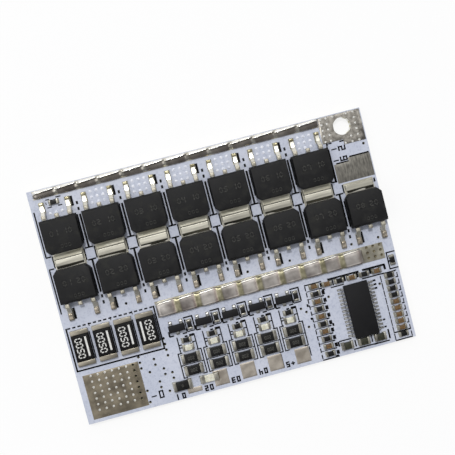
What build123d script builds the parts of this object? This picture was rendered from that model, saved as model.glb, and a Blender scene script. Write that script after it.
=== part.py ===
from build123d import *
import os

os.makedirs("parts", exist_ok=True)

# Battery charge and protection board, in millimetres.
# X runs along the long side, Y towards the edge with the upper solder bus, Z up from the underside.

# Board
board_length = 60.0
board_width = 42.0
board_thickness = 1.2
mount_hole_diameter = 3.2
mount_hole_inset_x = 3.8
mount_hole_inset_y = 2.4
via_diameter = 0.45
via_sides = 8
via_pitch_x = 1.27
via_pitch_y = 1.03

# Tinned copper on the board's top
land_thickness = 0.07
edge_margin = 0.15
pad_gap = 0.25

# Power transistors, flat tab package
switch_count = 8
tab_gap = 0.46
switch_width = 6.6
switch_body_length = 6.1
switch_height = 2.3
switch_corner = 0.75
switch_draft = 7.0
tab_width = 5.2
tab_reach = 1.1
tab_thickness = 0.5
tab_under_body = 4.9
tab_corner = 0.35
tab_land_width = 5.4
leg_spacing = 4.58
leg_width = 0.76
leg_thickness = 0.5
leg_shoulder_height = 0.85
leg_shoulder_length = 0.75
leg_reach = 2.8
leg_foot_length = 1.3
stub_length = 0.75
leg_bevel_length = 0.3
leg_bevel_height = 0.45

# Solder buses
upper_bus_inset = 0.9
upper_bus_end_gap = 0.05
upper_bus_width = 1.5
upper_bus_height = 0.95
upper_bus_dip = 0.72
upper_bus_lumps = 13
lower_bus_start_gap = 0.735
lower_bus_end_inset = 1.9
lower_bus_width = 2.9
lower_bus_height = 0.85
lower_bus_dip = 0.6
lower_bus_lumps = 10
lower_bus_tail = 3.9

# Current shunts
shunt_count = 4
shunt_length = 6.4
shunt_width = 3.15
shunt_height = 0.75
shunt_end_length = 0.85
shunt_end_height = 0.6
shunt_chamfer = 0.12

# Protection chip
chip_width = 4.4
chip_length = 9.7
chip_height = 1.05
chip_standoff = 0.1
chip_draft = 8.0
chip_lead_pitch = 0.65
chip_leads_per_side = 14
chip_lead_width = 0.26
chip_lead_thickness = 0.15
chip_lead_span = 6.4
chip_foot_length = 0.6

# Balance channels, one for each cell
channel_count = 5
transistor_width = 2.9
transistor_length = 1.3
transistor_height = 1.0
transistor_parting = 0.5
transistor_draft = 7.0
transistor_leg_spacing = 1.9
transistor_leg_width = 0.42
transistor_leg_thickness = 0.15
transistor_leg_reach = 0.55
transistor_leg_slope = 0.06

# Chip parts: length, width, height and metal end
small_chip = (1.6, 0.8, 0.45, 0.3)
medium_chip = (2.0, 1.25, 0.6, 0.38)
large_chip = (3.2, 1.6, 0.6, 0.5)
led_chip = (1.9, 1.0, 0.55, 0.32)
lamp_chip = (3.2, 1.25, 0.6, 0.75)
end_skin = 0.03
ladder_count = 10
head_count = 5
foot_count = 3

# Parts that stand alone: a link by the first tap, a lamp by the second, a chip between the first transistor's
# legs, and one below the end of the lower bus
link_offset = (-1.9, 0.46)
lamp_offset = (-2.0, 0.52)
corner_offset = (-0.1, -0.3)
tail_offset = (-0.9, -2.1)

# Wire pads
charge_pad_gap = 0.285
charge_pad_depth = 5.55
charge_pad_step = 0.95
pad_step_width = 4.0
load_pad_width = 6.7
load_pad_rise = 0.75
load_pad_depth = 4.1
load_pad_step = 0.7
battery_pad_inset = 1.05
battery_pad_width = 10.0
battery_pad_depth = 8.0
tap_width = 2.6
tap_depth = 2.75

# Clearances from neighbour to neighbour as on the real board, from edge to edge.
# When a side of the board or of a part changes, they share the change out in proportion.
board_row_gaps = (edge_margin, 1.02, 0.92, 1.4, 0.65, 0.22, 1.03)
shunt_row_gaps = (2.12, 1.75, 0.6)
channel_row_gaps = (1.25, 0.9, 0.45, 0.6, 0.55, 0.5, 0.65)
ladder_row_gaps = (1.25, *[0.575] * (ladder_count - 1), 0.625)
right_row_gaps = (2.75, *[0.4] * (ladder_count - 1), 0.7)
switch_column_gaps = (0.98, *[0.87] * (switch_count - 1), 0.13)
control_column_gaps = (0.975, *[0.73] * (shunt_count - 1), 1.935, *[0.45, 0.7] * (channel_count - 1), 0.45,
                       2.3, 3.15, 2.45, 1.25)
channel_column_gaps = (2.885, *[1.44] * (channel_count - 1), 3.14)
tap_column_gaps = (2.435, *[2.4] * (channel_count - 1), 2.75)
head_column_gaps = (0.75, *[0.7] * (head_count - 1), 0.45)
foot_column_gaps = (1.5, *[1.05] * (foot_count - 1), 2.4)

# Plated holes: rows of the charger pad by column, both from the mounting hole
charge_via_grid = {
    -3.45: (2.0, 1.0, 0.0, -1.0, -2.05),
    -2.45: (2.0, 1.0, 0.0, -1.0, -2.05),
    -1.2: (2.0,),
    0.0: (-3.05,),
    1.25: (2.0, -2.05, -3.05),
    2.5: (2.0, 1.0, 0.0, -1.0, -2.05, -3.05),
}
battery_via_inset = 1.4
battery_via_drop = 0.35
battery_via_columns = 7
battery_via_rows = 6

# Printed lines
print_thickness = 0.03
print_line = 0.22
print_gap = 0.2
separator_width = 0.28
separator_cap = 1.45
separator_gap = 2.15
separator_length = 6.0
leg_bar = (0.38, 1.85)
leg_bar_offset = 0.7
leg_bar_insets = (0.38, 0.78)
leg_land_width = 0.95
leg_land_extra = 0.7
bleed_frame_margin = 0.52
light_frame_margin = 0.65
bracket_offset = 1.25
shunt_line_shares = (0.43, 0.26)
foot_line_share = 0.27

# Levels and edges that the pieces share
right_edge = board_length / 2
top_edge = board_width / 2
board_top = board_thickness
seat = board_top + land_thickness
hole_x = right_edge - mount_hole_inset_x
hole_y = top_edge - mount_hole_inset_y
tab_end = tab_gap / 2 + tab_reach
body_offset = tab_end + switch_body_length / 2
leg_tip = tab_end + switch_body_length + leg_reach


def save(builder, name):
    """Label a finished piece and write it."""
    builder.part.label = name
    export_step(builder.part, f"parts/{name}.step")


def row(first, pitch, count):
    """Evenly spaced places along a line."""
    return [first + pitch * i for i in range(count)]


def spread(start, stop, sizes, gaps):
    """Centres of pieces set one after another; the gaps before, between and after them fill the room left."""
    way = 1 if stop > start else -1
    share = (abs(stop - start) - sum(sizes)) / sum(gaps)
    centres = []
    reached = 0
    for size, gap in zip(sizes, gaps):
        reached += gap * share + size
        centres.append(start + way * (reached - size / 2))
    return centres


def between(start, stop, share):
    """Place at a share of the way from one edge to another."""
    return start + (stop - start) * share


# Rows down the board: upper bus, transistors, lower bus, head row, protection chip and foot row
chip_part_length, chip_part_width = small_chip[:2]
board_rows = [upper_bus_width, 2 * leg_tip, lower_bus_width, chip_part_width, chip_length, medium_chip[1]]
upper_bus_y, switch_rows_y, lower_bus_y, head_row_y, chip_y, foot_row_y = spread(
    top_edge, -top_edge, board_rows, board_row_gaps)
switch_field_low = switch_rows_y - leg_tip
lower_bus_low = lower_bus_y - lower_bus_width / 2
shunt_rows = [shunt_length, battery_pad_depth]
shunt_y, battery_pad_y = spread(switch_field_low, -top_edge, shunt_rows, shunt_row_gaps)
transistor_depth = transistor_length + 2 * transistor_leg_reach
channel_rows = [transistor_depth, chip_part_width, led_chip[1], large_chip[1], large_chip[1], tap_depth]
transistor_y, gate_y, led_y, *bleed_y, tap_y = spread(
    lower_bus_low, -top_edge, channel_rows, channel_row_gaps)
ladder_y = spread(lower_bus_low, -top_edge, [chip_part_width] * ladder_count, ladder_row_gaps)
right_y = spread(lower_bus_low, -top_edge, [chip_part_width] * ladder_count, right_row_gaps)
load_pad_low = switch_rows_y + load_pad_rise
load_pad_high = load_pad_low + load_pad_depth

# Columns along the board: shunts, transistor and side resistor of each channel, ladder, chip and right column
switch_x = spread(-right_edge, right_edge, [switch_width] * switch_count, switch_column_gaps)
control_columns = [shunt_width] * shunt_count + [transistor_width, chip_part_width] * channel_count
control_columns += [chip_part_length, chip_lead_span, chip_part_length]
control_x = spread(-right_edge, right_edge, control_columns, control_column_gaps)
shunt_x = control_x[:shunt_count]
transistor_x = control_x[shunt_count:-3:2]
side_resistor_x = control_x[shunt_count + 1:-3:2]
ladder_x, chip_x, right_x = control_x[-3:]
shunt_right = shunt_x[-1] + shunt_width / 2
ladder_left = ladder_x - chip_part_length / 2
ladder_right = ladder_x + chip_part_length / 2
right_left = right_x - chip_part_length / 2
channel_x = spread(shunt_right, ladder_left, [large_chip[0]] * channel_count, channel_column_gaps)
tap_x = spread(shunt_right, ladder_left, [tap_width] * channel_count, tap_column_gaps)
head_x = spread(ladder_right, right_left, [chip_part_length] * head_count, head_column_gaps)
foot_x = spread(ladder_right, right_left, [medium_chip[0]] * foot_count, foot_column_gaps)

# Ends of the buses and edges of the wire pads
pad_right = right_edge - edge_margin
pad_top = top_edge - edge_margin
charge_left = switch_x[-2] + (leg_spacing + leg_land_width) / 2 + charge_pad_gap
pad_step_x = pad_right - pad_step_width
battery_left = -right_edge + battery_pad_inset
battery_top = battery_pad_y + battery_pad_depth / 2
upper_bus_start = -right_edge + upper_bus_inset
upper_bus_length = charge_left - upper_bus_end_gap - upper_bus_start
lower_bus_start = shunt_right + lower_bus_start_gap
lower_bus_length = right_edge - lower_bus_end_inset - lower_bus_tail - lower_bus_start

# Parts that stand alone
link_places = [Location((tap_x[0] + link_offset[0], tap_y + link_offset[1]))]
lamp_places = [Location((tap_x[1] + lamp_offset[0], tap_y + lamp_offset[1]))]
corner_place = (switch_x[0] + corner_offset[0], hole_y + corner_offset[1])
tail_place = (right_edge + tail_offset[0], lower_bus_y + tail_offset[1])

# Plated through holes in the charger and battery pads
charge_vias = [(hole_x + dx, hole_y + dy) for dx, rows in charge_via_grid.items() for dy in rows]
battery_via_x = row(battery_left + battery_via_inset, via_pitch_x, battery_via_columns)
battery_via_y = row(battery_top - battery_via_drop, -via_pitch_y, battery_via_rows)
battery_vias = [(x, y) for x in battery_via_x for y in battery_via_y[:2]]
battery_vias += [(battery_via_x[-1], y) for y in battery_via_y[2:]]


def circuit_board():
    """Glass-epoxy sheet with its mounting hole and the plated holes in the wire pads."""
    with BuildPart() as board:
        with BuildSketch():
            Rectangle(board_length, board_width)
            with Locations((hole_x, hole_y)):
                Circle(mount_hole_diameter / 2, mode=Mode.SUBTRACT)
            with Locations(*charge_vias, *battery_vias):
                RegularPolygon(via_diameter / 2, via_sides, mode=Mode.SUBTRACT)
        extrude(amount=board_thickness)
    save(board, "circuit_board")


def switch_plane(x, turned):
    """Plane of one power transistor: its own Y runs from the tab to the legs."""
    side = -1 if turned else 1
    return Plane(origin=(x, switch_rows_y + side * body_offset, seat), x_dir=(side, 0, 0), z_dir=(0, 0, 1))


def leg_outline(start):
    """Side view of a formed leg: out of the body, down, and flat along its land."""
    top = leg_shoulder_height + leg_thickness
    end = start + leg_reach
    heel = end - leg_foot_length
    return (
        (start, leg_shoulder_height),
        (start + leg_shoulder_length - leg_thickness / 3, leg_shoulder_height),
        (heel - leg_thickness / 3, 0),
        (end, 0),
        (end, leg_thickness),
        (heel, leg_thickness),
        (start + leg_shoulder_length, top),
        (start, top),
    )


def switch_leadframe(x, turned, name):
    """Tab that reaches under the body, two formed legs and the clipped middle leg."""
    plane = switch_plane(x, turned)
    face = switch_body_length / 2
    side_plane = Plane(origin=plane.origin, x_dir=plane.y_dir, z_dir=plane.x_dir)
    with BuildPart() as frame:
        with BuildSketch(plane) as tab:
            with Locations((0, (tab_under_body - tab_reach) / 2 - face)):
                Rectangle(tab_width, tab_reach + tab_under_body)
            chamfer(tab.vertices().group_by(Axis.Y)[0], tab_corner)
        extrude(amount=tab_thickness)
        for offset in (-leg_spacing / 2, leg_spacing / 2):
            with BuildSketch(side_plane.offset(offset)):
                Polygon(*leg_outline(face), align=None)
            extrude(amount=leg_width / 2, both=True)
        with BuildSketch(plane.offset(leg_shoulder_height)):
            with Locations((0, face + stub_length / 2)):
                Rectangle(leg_width, stub_length)
        extrude(amount=leg_thickness)
    save(frame, name)
    return frame.part


def switch_body(x, turned, leadframe, name):
    """Moulded body, drafted both ways from the leg level, cut to sit over its tab."""
    plane = switch_plane(x, turned)
    parting = leg_shoulder_height + leg_thickness / 2
    half_width = switch_width / 2
    half_length = switch_body_length / 2
    outline = (
        (half_width, half_length),
        (-half_width, half_length),
        (-half_width, -half_length + switch_corner),
        (-half_width + switch_corner, -half_length),
        (half_width - switch_corner, -half_length),
        (half_width, -half_length + switch_corner),
    )
    with BuildPart() as body:
        with BuildSketch(plane.offset(parting)):
            Polygon(*outline, align=None)
        extrude(amount=switch_height - parting, taper=switch_draft)
        with BuildSketch(plane.offset(parting)):
            Polygon(*outline, align=None)
        extrude(amount=-parting, taper=switch_draft)
        top_face = body.faces().sort_by(Axis.Z)[-1]
        leg_side = top_face.edges().sort_by(Axis(plane.origin, plane.y_dir))[-1]
        chamfer(leg_side, leg_bevel_length, leg_bevel_height, reference=top_face)
        add(leadframe, mode=Mode.SUBTRACT)
    save(body, name)


def power_switches():
    """Seven transistors in the upper row and eight in the lower row, tab to tab."""
    number = 1
    for turned, places in ((False, switch_x[:-1]), (True, switch_x)):
        for x in places:
            leadframe = switch_leadframe(x, turned, f"power_switch_{number:02d}_leadframe")
            switch_body(x, turned, leadframe, f"power_switch_{number:02d}_body")
            number += 1


def solder_bus(start, length, y, width, height, dip, lumps, name):
    """Run of solder lumps: scalloped along its length and domed across its width."""
    pitch = length / lumps
    low = seat + dip
    with BuildPart() as bus:
        with BuildSketch(Plane.XZ.offset(-y)):
            with BuildLine():
                for left in row(start, pitch, lumps):
                    ThreePointArc((left, low), (left + pitch / 2, seat + height), (left + pitch, low))
                Polyline((start + length, low), (start + length, seat), (start, seat), (start, low))
            make_face()
        extrude(amount=width / 2, both=True)
        with BuildSketch(Plane.YZ.offset(start)):
            with BuildLine():
                ThreePointArc((y - width / 2, seat), (y, seat + height), (y + width / 2, seat))
                Line((y - width / 2, seat), (y + width / 2, seat))
            make_face()
        extrude(amount=length, mode=Mode.INTERSECT)
    save(bus, name)


def current_shunts():
    """Coated resistance strips, each with a bare metal end at both ends."""
    body_length = shunt_length - 2 * shunt_end_length
    end_y = (body_length + shunt_end_length) / 2
    for number, x in enumerate(shunt_x, start=1):
        with BuildPart() as body:
            with BuildSketch(Plane.XY.offset(seat)):
                with Locations((x, shunt_y)):
                    Rectangle(shunt_width, body_length)
            extrude(amount=shunt_height)
            chamfer(body.faces().sort_by(Axis.Z)[-1].edges(), shunt_chamfer)
        save(body, f"current_shunt_{number}_body")
    with BuildPart() as ends:
        with BuildSketch(Plane.XY.offset(board_top)):
            with Locations(*[(x, shunt_y + dy) for x in shunt_x for dy in (-end_y, end_y)]):
                Rectangle(shunt_width, shunt_end_length)
        extrude(amount=land_thickness + shunt_end_height)
    save(ends, "current_shunt_ends")


def protection_chip():
    """Moulded body drafted from the lead level, and a row of formed leads down each side."""
    parting = chip_standoff + (chip_height - chip_standoff) / 2
    body_side = chip_width / 2
    with BuildPart() as body:
        for rise in (chip_height - parting, chip_standoff - parting):
            with BuildSketch(Plane.XY.offset(seat + parting)):
                with Locations((chip_x, chip_y)):
                    Rectangle(chip_width, chip_length)
            extrude(amount=rise, taper=chip_draft)
    save(body, "protection_chip_body")

    reach = chip_lead_span / 2
    high = seat + parting - chip_lead_thickness / 2
    thick = chip_lead_thickness
    outline = (
        (body_side, high),
        (reach - chip_foot_length - thick, high),
        (reach - chip_foot_length, board_top),
        (reach, board_top),
        (reach, seat + thick),
        (reach - chip_foot_length + thick, seat + thick),
        (reach - chip_foot_length, high + thick),
        (body_side, high + thick),
    )
    first = chip_y - chip_lead_pitch * (chip_leads_per_side - 1) / 2
    with BuildPart() as leads:
        for y in row(first, chip_lead_pitch, chip_leads_per_side):
            for side in (-1, 1):
                with BuildSketch(Plane.XZ.offset(-y)):
                    Polygon(*[(chip_x + side * across, up) for across, up in outline], align=None)
                extrude(amount=chip_lead_width / 2, both=True)
    save(leads, "protection_chip_leads")


def chip_parts(groups, kind):
    """Chip parts in groups of one size: bodies in one piece list, soldered metal ends in another."""
    with BuildPart() as bodies:
        for places, (length, width, height, end) in groups:
            with BuildSketch(Plane.XY.offset(seat)):
                with Locations(*places):
                    Rectangle(length - 2 * end, width)
            extrude(amount=height)
    with BuildPart() as ends:
        for places, (length, width, height, end) in groups:
            across = (length - end) / 2
            with BuildSketch(Plane.XY.offset(board_top)):
                with Locations(*places):
                    with Locations((-across, 0), (across, 0)):
                        Rectangle(end, width + 2 * end_skin)
            extrude(amount=land_thickness + height + end_skin)
    save(bodies, f"{kind}_bodies")
    save(ends, f"{kind}_ends")


def lying(xs, ys):
    """Places of chip parts that lie along X."""
    return [Location((x, y)) for x in xs for y in ys]


def upright(xs, ys):
    """Places of chip parts that lie along Y."""
    return [Location((x, y, 0), 90) for x in xs for y in ys]


bleed_places = lying(channel_x, bleed_y) + link_places
led_places = lying(channel_x, [led_y])
small_resistors = lying(channel_x, [gate_y]) + upright(side_resistor_x, [transistor_y])
small_resistors += [Location(corner_place), Location((*tail_place, 0), 90)]
small_resistors += lying([ladder_x], ladder_y[1::2]) + lying(head_x[1::2], [head_row_y])
small_resistors += lying([right_x], right_y[:4] + right_y[-1:])
small_capacitors = lying([ladder_x], ladder_y[0::2]) + lying([right_x], right_y[4:-1])
small_capacitors += lying(head_x[0::2], [head_row_y])
medium_places = lying(foot_x, [foot_row_y])


def balance_transistors():
    """Three-leg transistors: two legs towards the lower bus and one towards the cells."""
    half = transistor_length / 2
    thick = transistor_leg_thickness
    with BuildPart() as bodies:
        for rise in (transistor_height - transistor_parting, thick / 2 - transistor_parting):
            with BuildSketch(Plane.XY.offset(seat + transistor_parting)):
                with Locations(*[(x, transistor_y) for x in transistor_x]):
                    Rectangle(transistor_width, transistor_length)
            extrude(amount=rise, taper=transistor_draft)
    save(bodies, "balance_transistor_bodies")

    reach = half + transistor_leg_reach
    bend = half + 2 * transistor_leg_slope
    foot = bend + transistor_leg_slope
    leg_low = seat + transistor_parting - thick / 2
    outline = (
        (half, leg_low),
        (bend, leg_low),
        (foot, board_top),
        (reach, board_top),
        (reach, seat + thick),
        (foot + thick, seat + thick),
        (bend + thick, leg_low + thick),
        (half, leg_low + thick),
    )
    with BuildPart() as legs:
        for x in transistor_x:
            for dx, side in ((-transistor_leg_spacing / 2, 1), (transistor_leg_spacing / 2, 1), (0, -1)):
                with BuildSketch(Plane.YZ.offset(x + dx)):
                    Polygon(*[(transistor_y + side * along, up) for along, up in outline], align=None)
                extrude(amount=transistor_leg_width / 2, both=True)
    save(legs, "balance_transistor_legs")


def wire_pads():
    """Large tinned pads for the charger, load and battery wires, and the row of cell taps."""
    charge_low = pad_top - charge_pad_depth
    with BuildPart() as charge:
        with BuildSketch(Plane.XY.offset(board_top)):
            Polygon(
                (charge_left, pad_top),
                (pad_right, pad_top),
                (pad_right, charge_low),
                (pad_step_x, charge_low),
                (pad_step_x, charge_low + charge_pad_step),
                (charge_left, charge_low + charge_pad_step),
                align=None,
            )
            with Locations((hole_x, hole_y)):
                Circle(mount_hole_diameter / 2, mode=Mode.SUBTRACT)
            with Locations(*charge_vias):
                RegularPolygon(via_diameter / 2, via_sides, mode=Mode.SUBTRACT)
        extrude(amount=land_thickness)
    save(charge, "charge_negative_pad")

    load_left = pad_right - load_pad_width
    with BuildPart() as load:
        with BuildSketch(Plane.XY.offset(board_top)):
            Polygon(
                (load_left, load_pad_high - load_pad_step),
                (pad_step_x, load_pad_high - load_pad_step),
                (pad_step_x, load_pad_high),
                (pad_right, load_pad_high),
                (pad_right, load_pad_low),
                (load_left, load_pad_low),
                align=None,
            )
        extrude(amount=land_thickness)
    save(load, "load_negative_pad")

    with BuildPart() as battery:
        with BuildSketch(Plane.XY.offset(board_top)):
            with Locations((battery_left + battery_pad_width / 2, battery_pad_y)):
                Rectangle(battery_pad_width, battery_pad_depth)
            with Locations(*battery_vias):
                RegularPolygon(via_diameter / 2, via_sides, mode=Mode.SUBTRACT)
        extrude(amount=land_thickness)
    save(battery, "battery_negative_pad")

    with BuildPart() as taps:
        with BuildSketch(Plane.XY.offset(board_top)):
            with Locations(*[(x, tap_y) for x in tap_x]):
                Rectangle(tap_width, tap_depth)
            for places, (length, width, _, _) in ((link_places, large_chip), (lamp_places, lamp_chip)):
                with Locations(*places):
                    Rectangle(length + pad_gap, width + 2 * pad_gap, mode=Mode.SUBTRACT)
        extrude(amount=land_thickness)
    save(taps, "cell_tap_pads")


def bus_lands():
    """Tinned strips that carry the two solder buses; the lower one runs on past its bus."""
    with BuildPart() as lands:
        with BuildSketch(Plane.XY.offset(board_top)):
            with Locations((upper_bus_start, upper_bus_y)):
                Rectangle(upper_bus_length, upper_bus_width, align=(Align.MIN, Align.CENTER))
            with Locations((lower_bus_start, lower_bus_y)):
                Rectangle(lower_bus_length + lower_bus_tail, lower_bus_width, align=(Align.MIN, Align.CENTER))
        extrude(amount=land_thickness)
    save(lands, "bus_lands")


def switch_lands():
    """Tinned lands under the transistors' legs, and one under each facing pair of tabs."""
    foot = leg_tip - leg_foot_length / 2
    last_top = load_pad_low - pad_gap
    tab_depth = tab_end + tab_under_body
    with BuildPart() as lands:
        with BuildSketch(Plane.XY.offset(board_top)):
            for side, places in ((1, switch_x[:-1]), (-1, switch_x)):
                with Locations(*[(x + dx, switch_rows_y + side * foot) for x in places
                                 for dx in (-leg_spacing / 2, leg_spacing / 2)]):
                    Rectangle(leg_land_width, leg_foot_length + leg_land_extra)
            with Locations(*[(x, switch_rows_y) for x in switch_x[:-1]]):
                Rectangle(tab_land_width, 2 * tab_depth)
            with Locations((switch_x[-1], last_top)):
                last_depth = last_top - switch_rows_y + tab_depth
                Rectangle(tab_land_width, last_depth, align=(Align.CENTER, Align.MAX))
        extrude(amount=land_thickness)
    save(lands, "power_switch_lands")


def switch_print():
    """Lines between the transistors, beside their tabs and beside one leg of each."""
    low = switch_rows_y - separator_gap / 2
    high = switch_rows_y + separator_gap / 2
    beside_tab = tab_land_width / 2 + print_gap
    upper_bar_y = switch_rows_y + leg_tip - leg_bar_insets[0]
    lower_bar_y = switch_rows_y - leg_tip + leg_bar_insets[1]
    middles = [between(x, following, 0.5) for x, following in zip(switch_x, switch_x[1:])]
    marks = [(x, high + separator_length / 2, separator_width, separator_length) for x in middles]
    marks += [(x, low - separator_length / 2, separator_width, separator_length) for x in middles]
    marks += [(x, low, separator_cap, print_line) for x in middles]
    marks += [(x, high, separator_cap, print_line) for x in middles[:-1]]
    marks += [(x + side * beside_tab, switch_rows_y, print_line, separator_gap)
              for x in switch_x[:-1] for side in (-1, 1)]
    marks += [(x + leg_spacing / 2 + leg_bar_offset, upper_bar_y, *leg_bar) for x in switch_x[:-2]]
    marks += [(x - leg_spacing / 2 + leg_bar_offset, lower_bar_y, *leg_bar) for x in switch_x]
    edge_x = -right_edge + 2 * print_gap
    edge_run = separator_length + leg_reach - leg_bar_insets[1]
    marks += [(edge_x, high + edge_run / 2, print_line, edge_run)]
    marks += [(edge_x, low - edge_run / 2, print_line, edge_run)]
    marks += [(edge_x + separator_cap / 4, y, separator_cap / 2, print_line) for y in (low, high)]
    return marks


def frame_print(left, right, bottom, top):
    """Four lines round a group of parts."""
    middle_x = (left + right) / 2
    middle_y = (bottom + top) / 2
    return [
        (middle_x, top, right - left + print_line, print_line),
        (middle_x, bottom, right - left + print_line, print_line),
        (left, middle_y, print_line, top - bottom),
        (right, middle_y, print_line, top - bottom),
    ]


def channel_print():
    """Brackets round the bleed resistors, the LED and the transistor of each balance channel."""
    bleed_side = large_chip[0] / 2 + bleed_frame_margin
    bleed_high = bleed_y[0] + large_chip[1] / 2 + print_gap
    bleed_low = bleed_y[1] - large_chip[1] / 2 - print_gap
    light_side = led_chip[0] / 2 + light_frame_margin
    light_high = gate_y + chip_part_width
    light_low = led_y - led_chip[1] / 2 - print_gap
    bleed_middle = between(bleed_low, bleed_high, 0.5)
    light_middle = between(light_low, light_high, 0.5)
    tick = large_chip[3] + print_gap
    leg_end = transistor_depth / 2 + print_gap
    marks = []
    for x in channel_x:
        for side in (-1, 1):
            marks += [(x + side * bleed_side, bleed_middle, print_line, bleed_high - bleed_low)]
            marks += [(x + side * light_side, light_middle, print_line, light_high - light_low)]
            marks += [(x + side * (bleed_side - tick / 2), bleed_low, tick, print_line)]
    for x in transistor_x:
        marks += [(x + side * bracket_offset, transistor_y - leg_end, tick, print_line) for side in (-1, 1)]
    for x in side_resistor_x:
        marks += [(x, transistor_y + leg_end, 2 * chip_part_width, print_line)]
        marks += [(x + chip_part_width, transistor_y, print_line, transistor_depth)]
    return marks


def group_print():
    """Frames round the shunts, the ladder and the right column, and lines beside the chip's own parts."""
    shunt_high = shunt_y + shunt_length / 2
    shunt_low = shunt_y - shunt_length / 2
    part_side = chip_part_length / 2 + 3 * print_gap
    edge_low = -top_edge + print_gap
    ladder_high = ladder_y[0] + chip_part_width / 2 + print_gap
    right_high = right_y[0] + chip_part_width / 2 + print_gap
    foot_low = foot_row_y - medium_chip[1] / 2
    foot_end = foot_x[-1] + medium_chip[0] / 2
    shunt_left = shunt_x[0] - shunt_width / 2
    marks = frame_print(
        shunt_left - lower_bus_start_gap / 2,
        shunt_right + lower_bus_start_gap / 2,
        between(shunt_low, battery_top, shunt_line_shares[0]),
        between(shunt_high, switch_field_low, shunt_line_shares[1]),
    )
    marks += frame_print(ladder_x - part_side, ladder_x + part_side, edge_low, ladder_high)
    marks += frame_print(right_x - part_side, right_x + part_side, edge_low, right_high)
    head_run = head_x[-1] - head_x[0] + chip_part_length
    foot_run = foot_end - foot_x[0] + medium_chip[0]
    marks += [(head_x[head_count // 2] + print_gap, ladder_high, head_run, print_line)]
    marks += [(foot_x[1], between(foot_low, -top_edge, foot_line_share), foot_run, print_line)]
    marks += [(foot_end + 3 * print_gap, foot_row_y, print_line, medium_chip[1])]
    return marks


def pad_print():
    """Lines above the load pad and beside the last two taps."""
    load_left = pad_right - load_pad_width
    marks = [((pad_step_x + pad_right) / 2, load_pad_high + print_gap, pad_step_width - pad_gap, print_line)]
    marks += [((load_left + pad_step_x) / 2, load_pad_high - load_pad_step + print_gap,
               pad_step_x - load_left - pad_gap, print_line)]
    marks += [(x + tap_width / 2 + print_gap, tap_y, print_line, tap_depth) for x in tap_x[3:]]
    return marks


def board_print():
    """Black ink lines on the solder mask."""
    with BuildPart() as ink:
        with BuildSketch(Plane.XY.offset(board_top)):
            for x, y, width, height in switch_print() + channel_print() + group_print() + pad_print():
                with Locations((x, y)):
                    Rectangle(width, height)
        extrude(amount=print_thickness)
    save(ink, "board_print")


circuit_board()
power_switches()
solder_bus(upper_bus_start, upper_bus_length, upper_bus_y, upper_bus_width, upper_bus_height, upper_bus_dip,
           upper_bus_lumps, "upper_solder_bus")
solder_bus(lower_bus_start, lower_bus_length, lower_bus_y, lower_bus_width, lower_bus_height, lower_bus_dip,
           lower_bus_lumps, "lower_solder_bus")
current_shunts()
protection_chip()
chip_parts([(bleed_places, large_chip)], "bleed_resistor")
chip_parts([(led_places, led_chip), (lamp_places, lamp_chip)], "balance_led")
chip_parts([(small_resistors, small_chip)], "chip_resistor")
chip_parts([(small_capacitors, small_chip)], "chip_capacitor")
chip_parts([(medium_places, medium_chip)], "filter_part")
balance_transistors()
wire_pads()
bus_lands()
switch_lands()
board_print()
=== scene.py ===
# Battery charge board: finishes, solder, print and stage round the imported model.
import bmesh
import bpy
import math
import numpy as np
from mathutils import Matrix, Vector, geometry

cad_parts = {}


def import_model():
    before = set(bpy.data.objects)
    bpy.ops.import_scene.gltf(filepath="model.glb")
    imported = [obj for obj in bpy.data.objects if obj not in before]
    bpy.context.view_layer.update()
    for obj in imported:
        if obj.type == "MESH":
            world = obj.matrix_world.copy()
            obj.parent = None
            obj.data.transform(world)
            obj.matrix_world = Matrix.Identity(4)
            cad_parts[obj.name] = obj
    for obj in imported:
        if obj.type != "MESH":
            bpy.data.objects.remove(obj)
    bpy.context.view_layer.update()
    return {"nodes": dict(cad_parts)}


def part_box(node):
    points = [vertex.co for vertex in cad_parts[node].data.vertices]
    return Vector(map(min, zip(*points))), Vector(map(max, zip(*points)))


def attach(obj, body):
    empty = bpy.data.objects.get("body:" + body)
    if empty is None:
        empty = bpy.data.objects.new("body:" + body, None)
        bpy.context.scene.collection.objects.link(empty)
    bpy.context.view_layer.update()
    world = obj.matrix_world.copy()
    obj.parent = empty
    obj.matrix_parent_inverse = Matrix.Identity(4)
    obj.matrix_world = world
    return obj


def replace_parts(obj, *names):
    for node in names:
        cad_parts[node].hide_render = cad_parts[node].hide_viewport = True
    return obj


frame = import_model()
nodes = frame["nodes"]
mm = 0.001

# Levels and edges read from the model
boardLow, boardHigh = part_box("circuit_board")
boardTop = boardHigh.z
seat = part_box("bus_lands")[1].z
rightEdge = boardHigh.x
topEdge = boardHigh.y


# Boxes of a node's separate solids, in metres, from left to right.
def islands(name):
    work = bmesh.new()
    work.from_mesh(nodes[name].data)
    bmesh.ops.remove_doubles(work, verts=work.verts, dist=1e-7)
    boxes, seen = [], set()
    for first in work.verts:
        if first in seen:
            continue
        group, reached = [], [first]
        seen.add(first)
        while reached:
            vertex = reached.pop()
            group.append(vertex.co)
            for edge in vertex.link_edges:
                other = edge.other_vert(vertex)
                if other not in seen:
                    seen.add(other)
                    reached.append(other)
        places = np.array(group)
        boxes.append((Vector(places.min(0)), Vector(places.max(0))))
    work.free()
    return sorted(boxes, key=lambda b: (round(b[0].x, 5), -b[1].y))


# Centres of a node's separate solids.
def middles(name):
    return [(low + high) / 2 for low, high in islands(name)]


print("frame loaded")


# Colour and material helpers
# sRGB hex to linear RGBA.
def srgb(text):
    parts = [int(text[i:i + 2], 16) / 255 for i in (0, 2, 4)]
    return [c / 12.92 if c <= 0.04045 else ((c + 0.055) / 1.055) ** 2.4 for c in parts] + [1.0]


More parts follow.
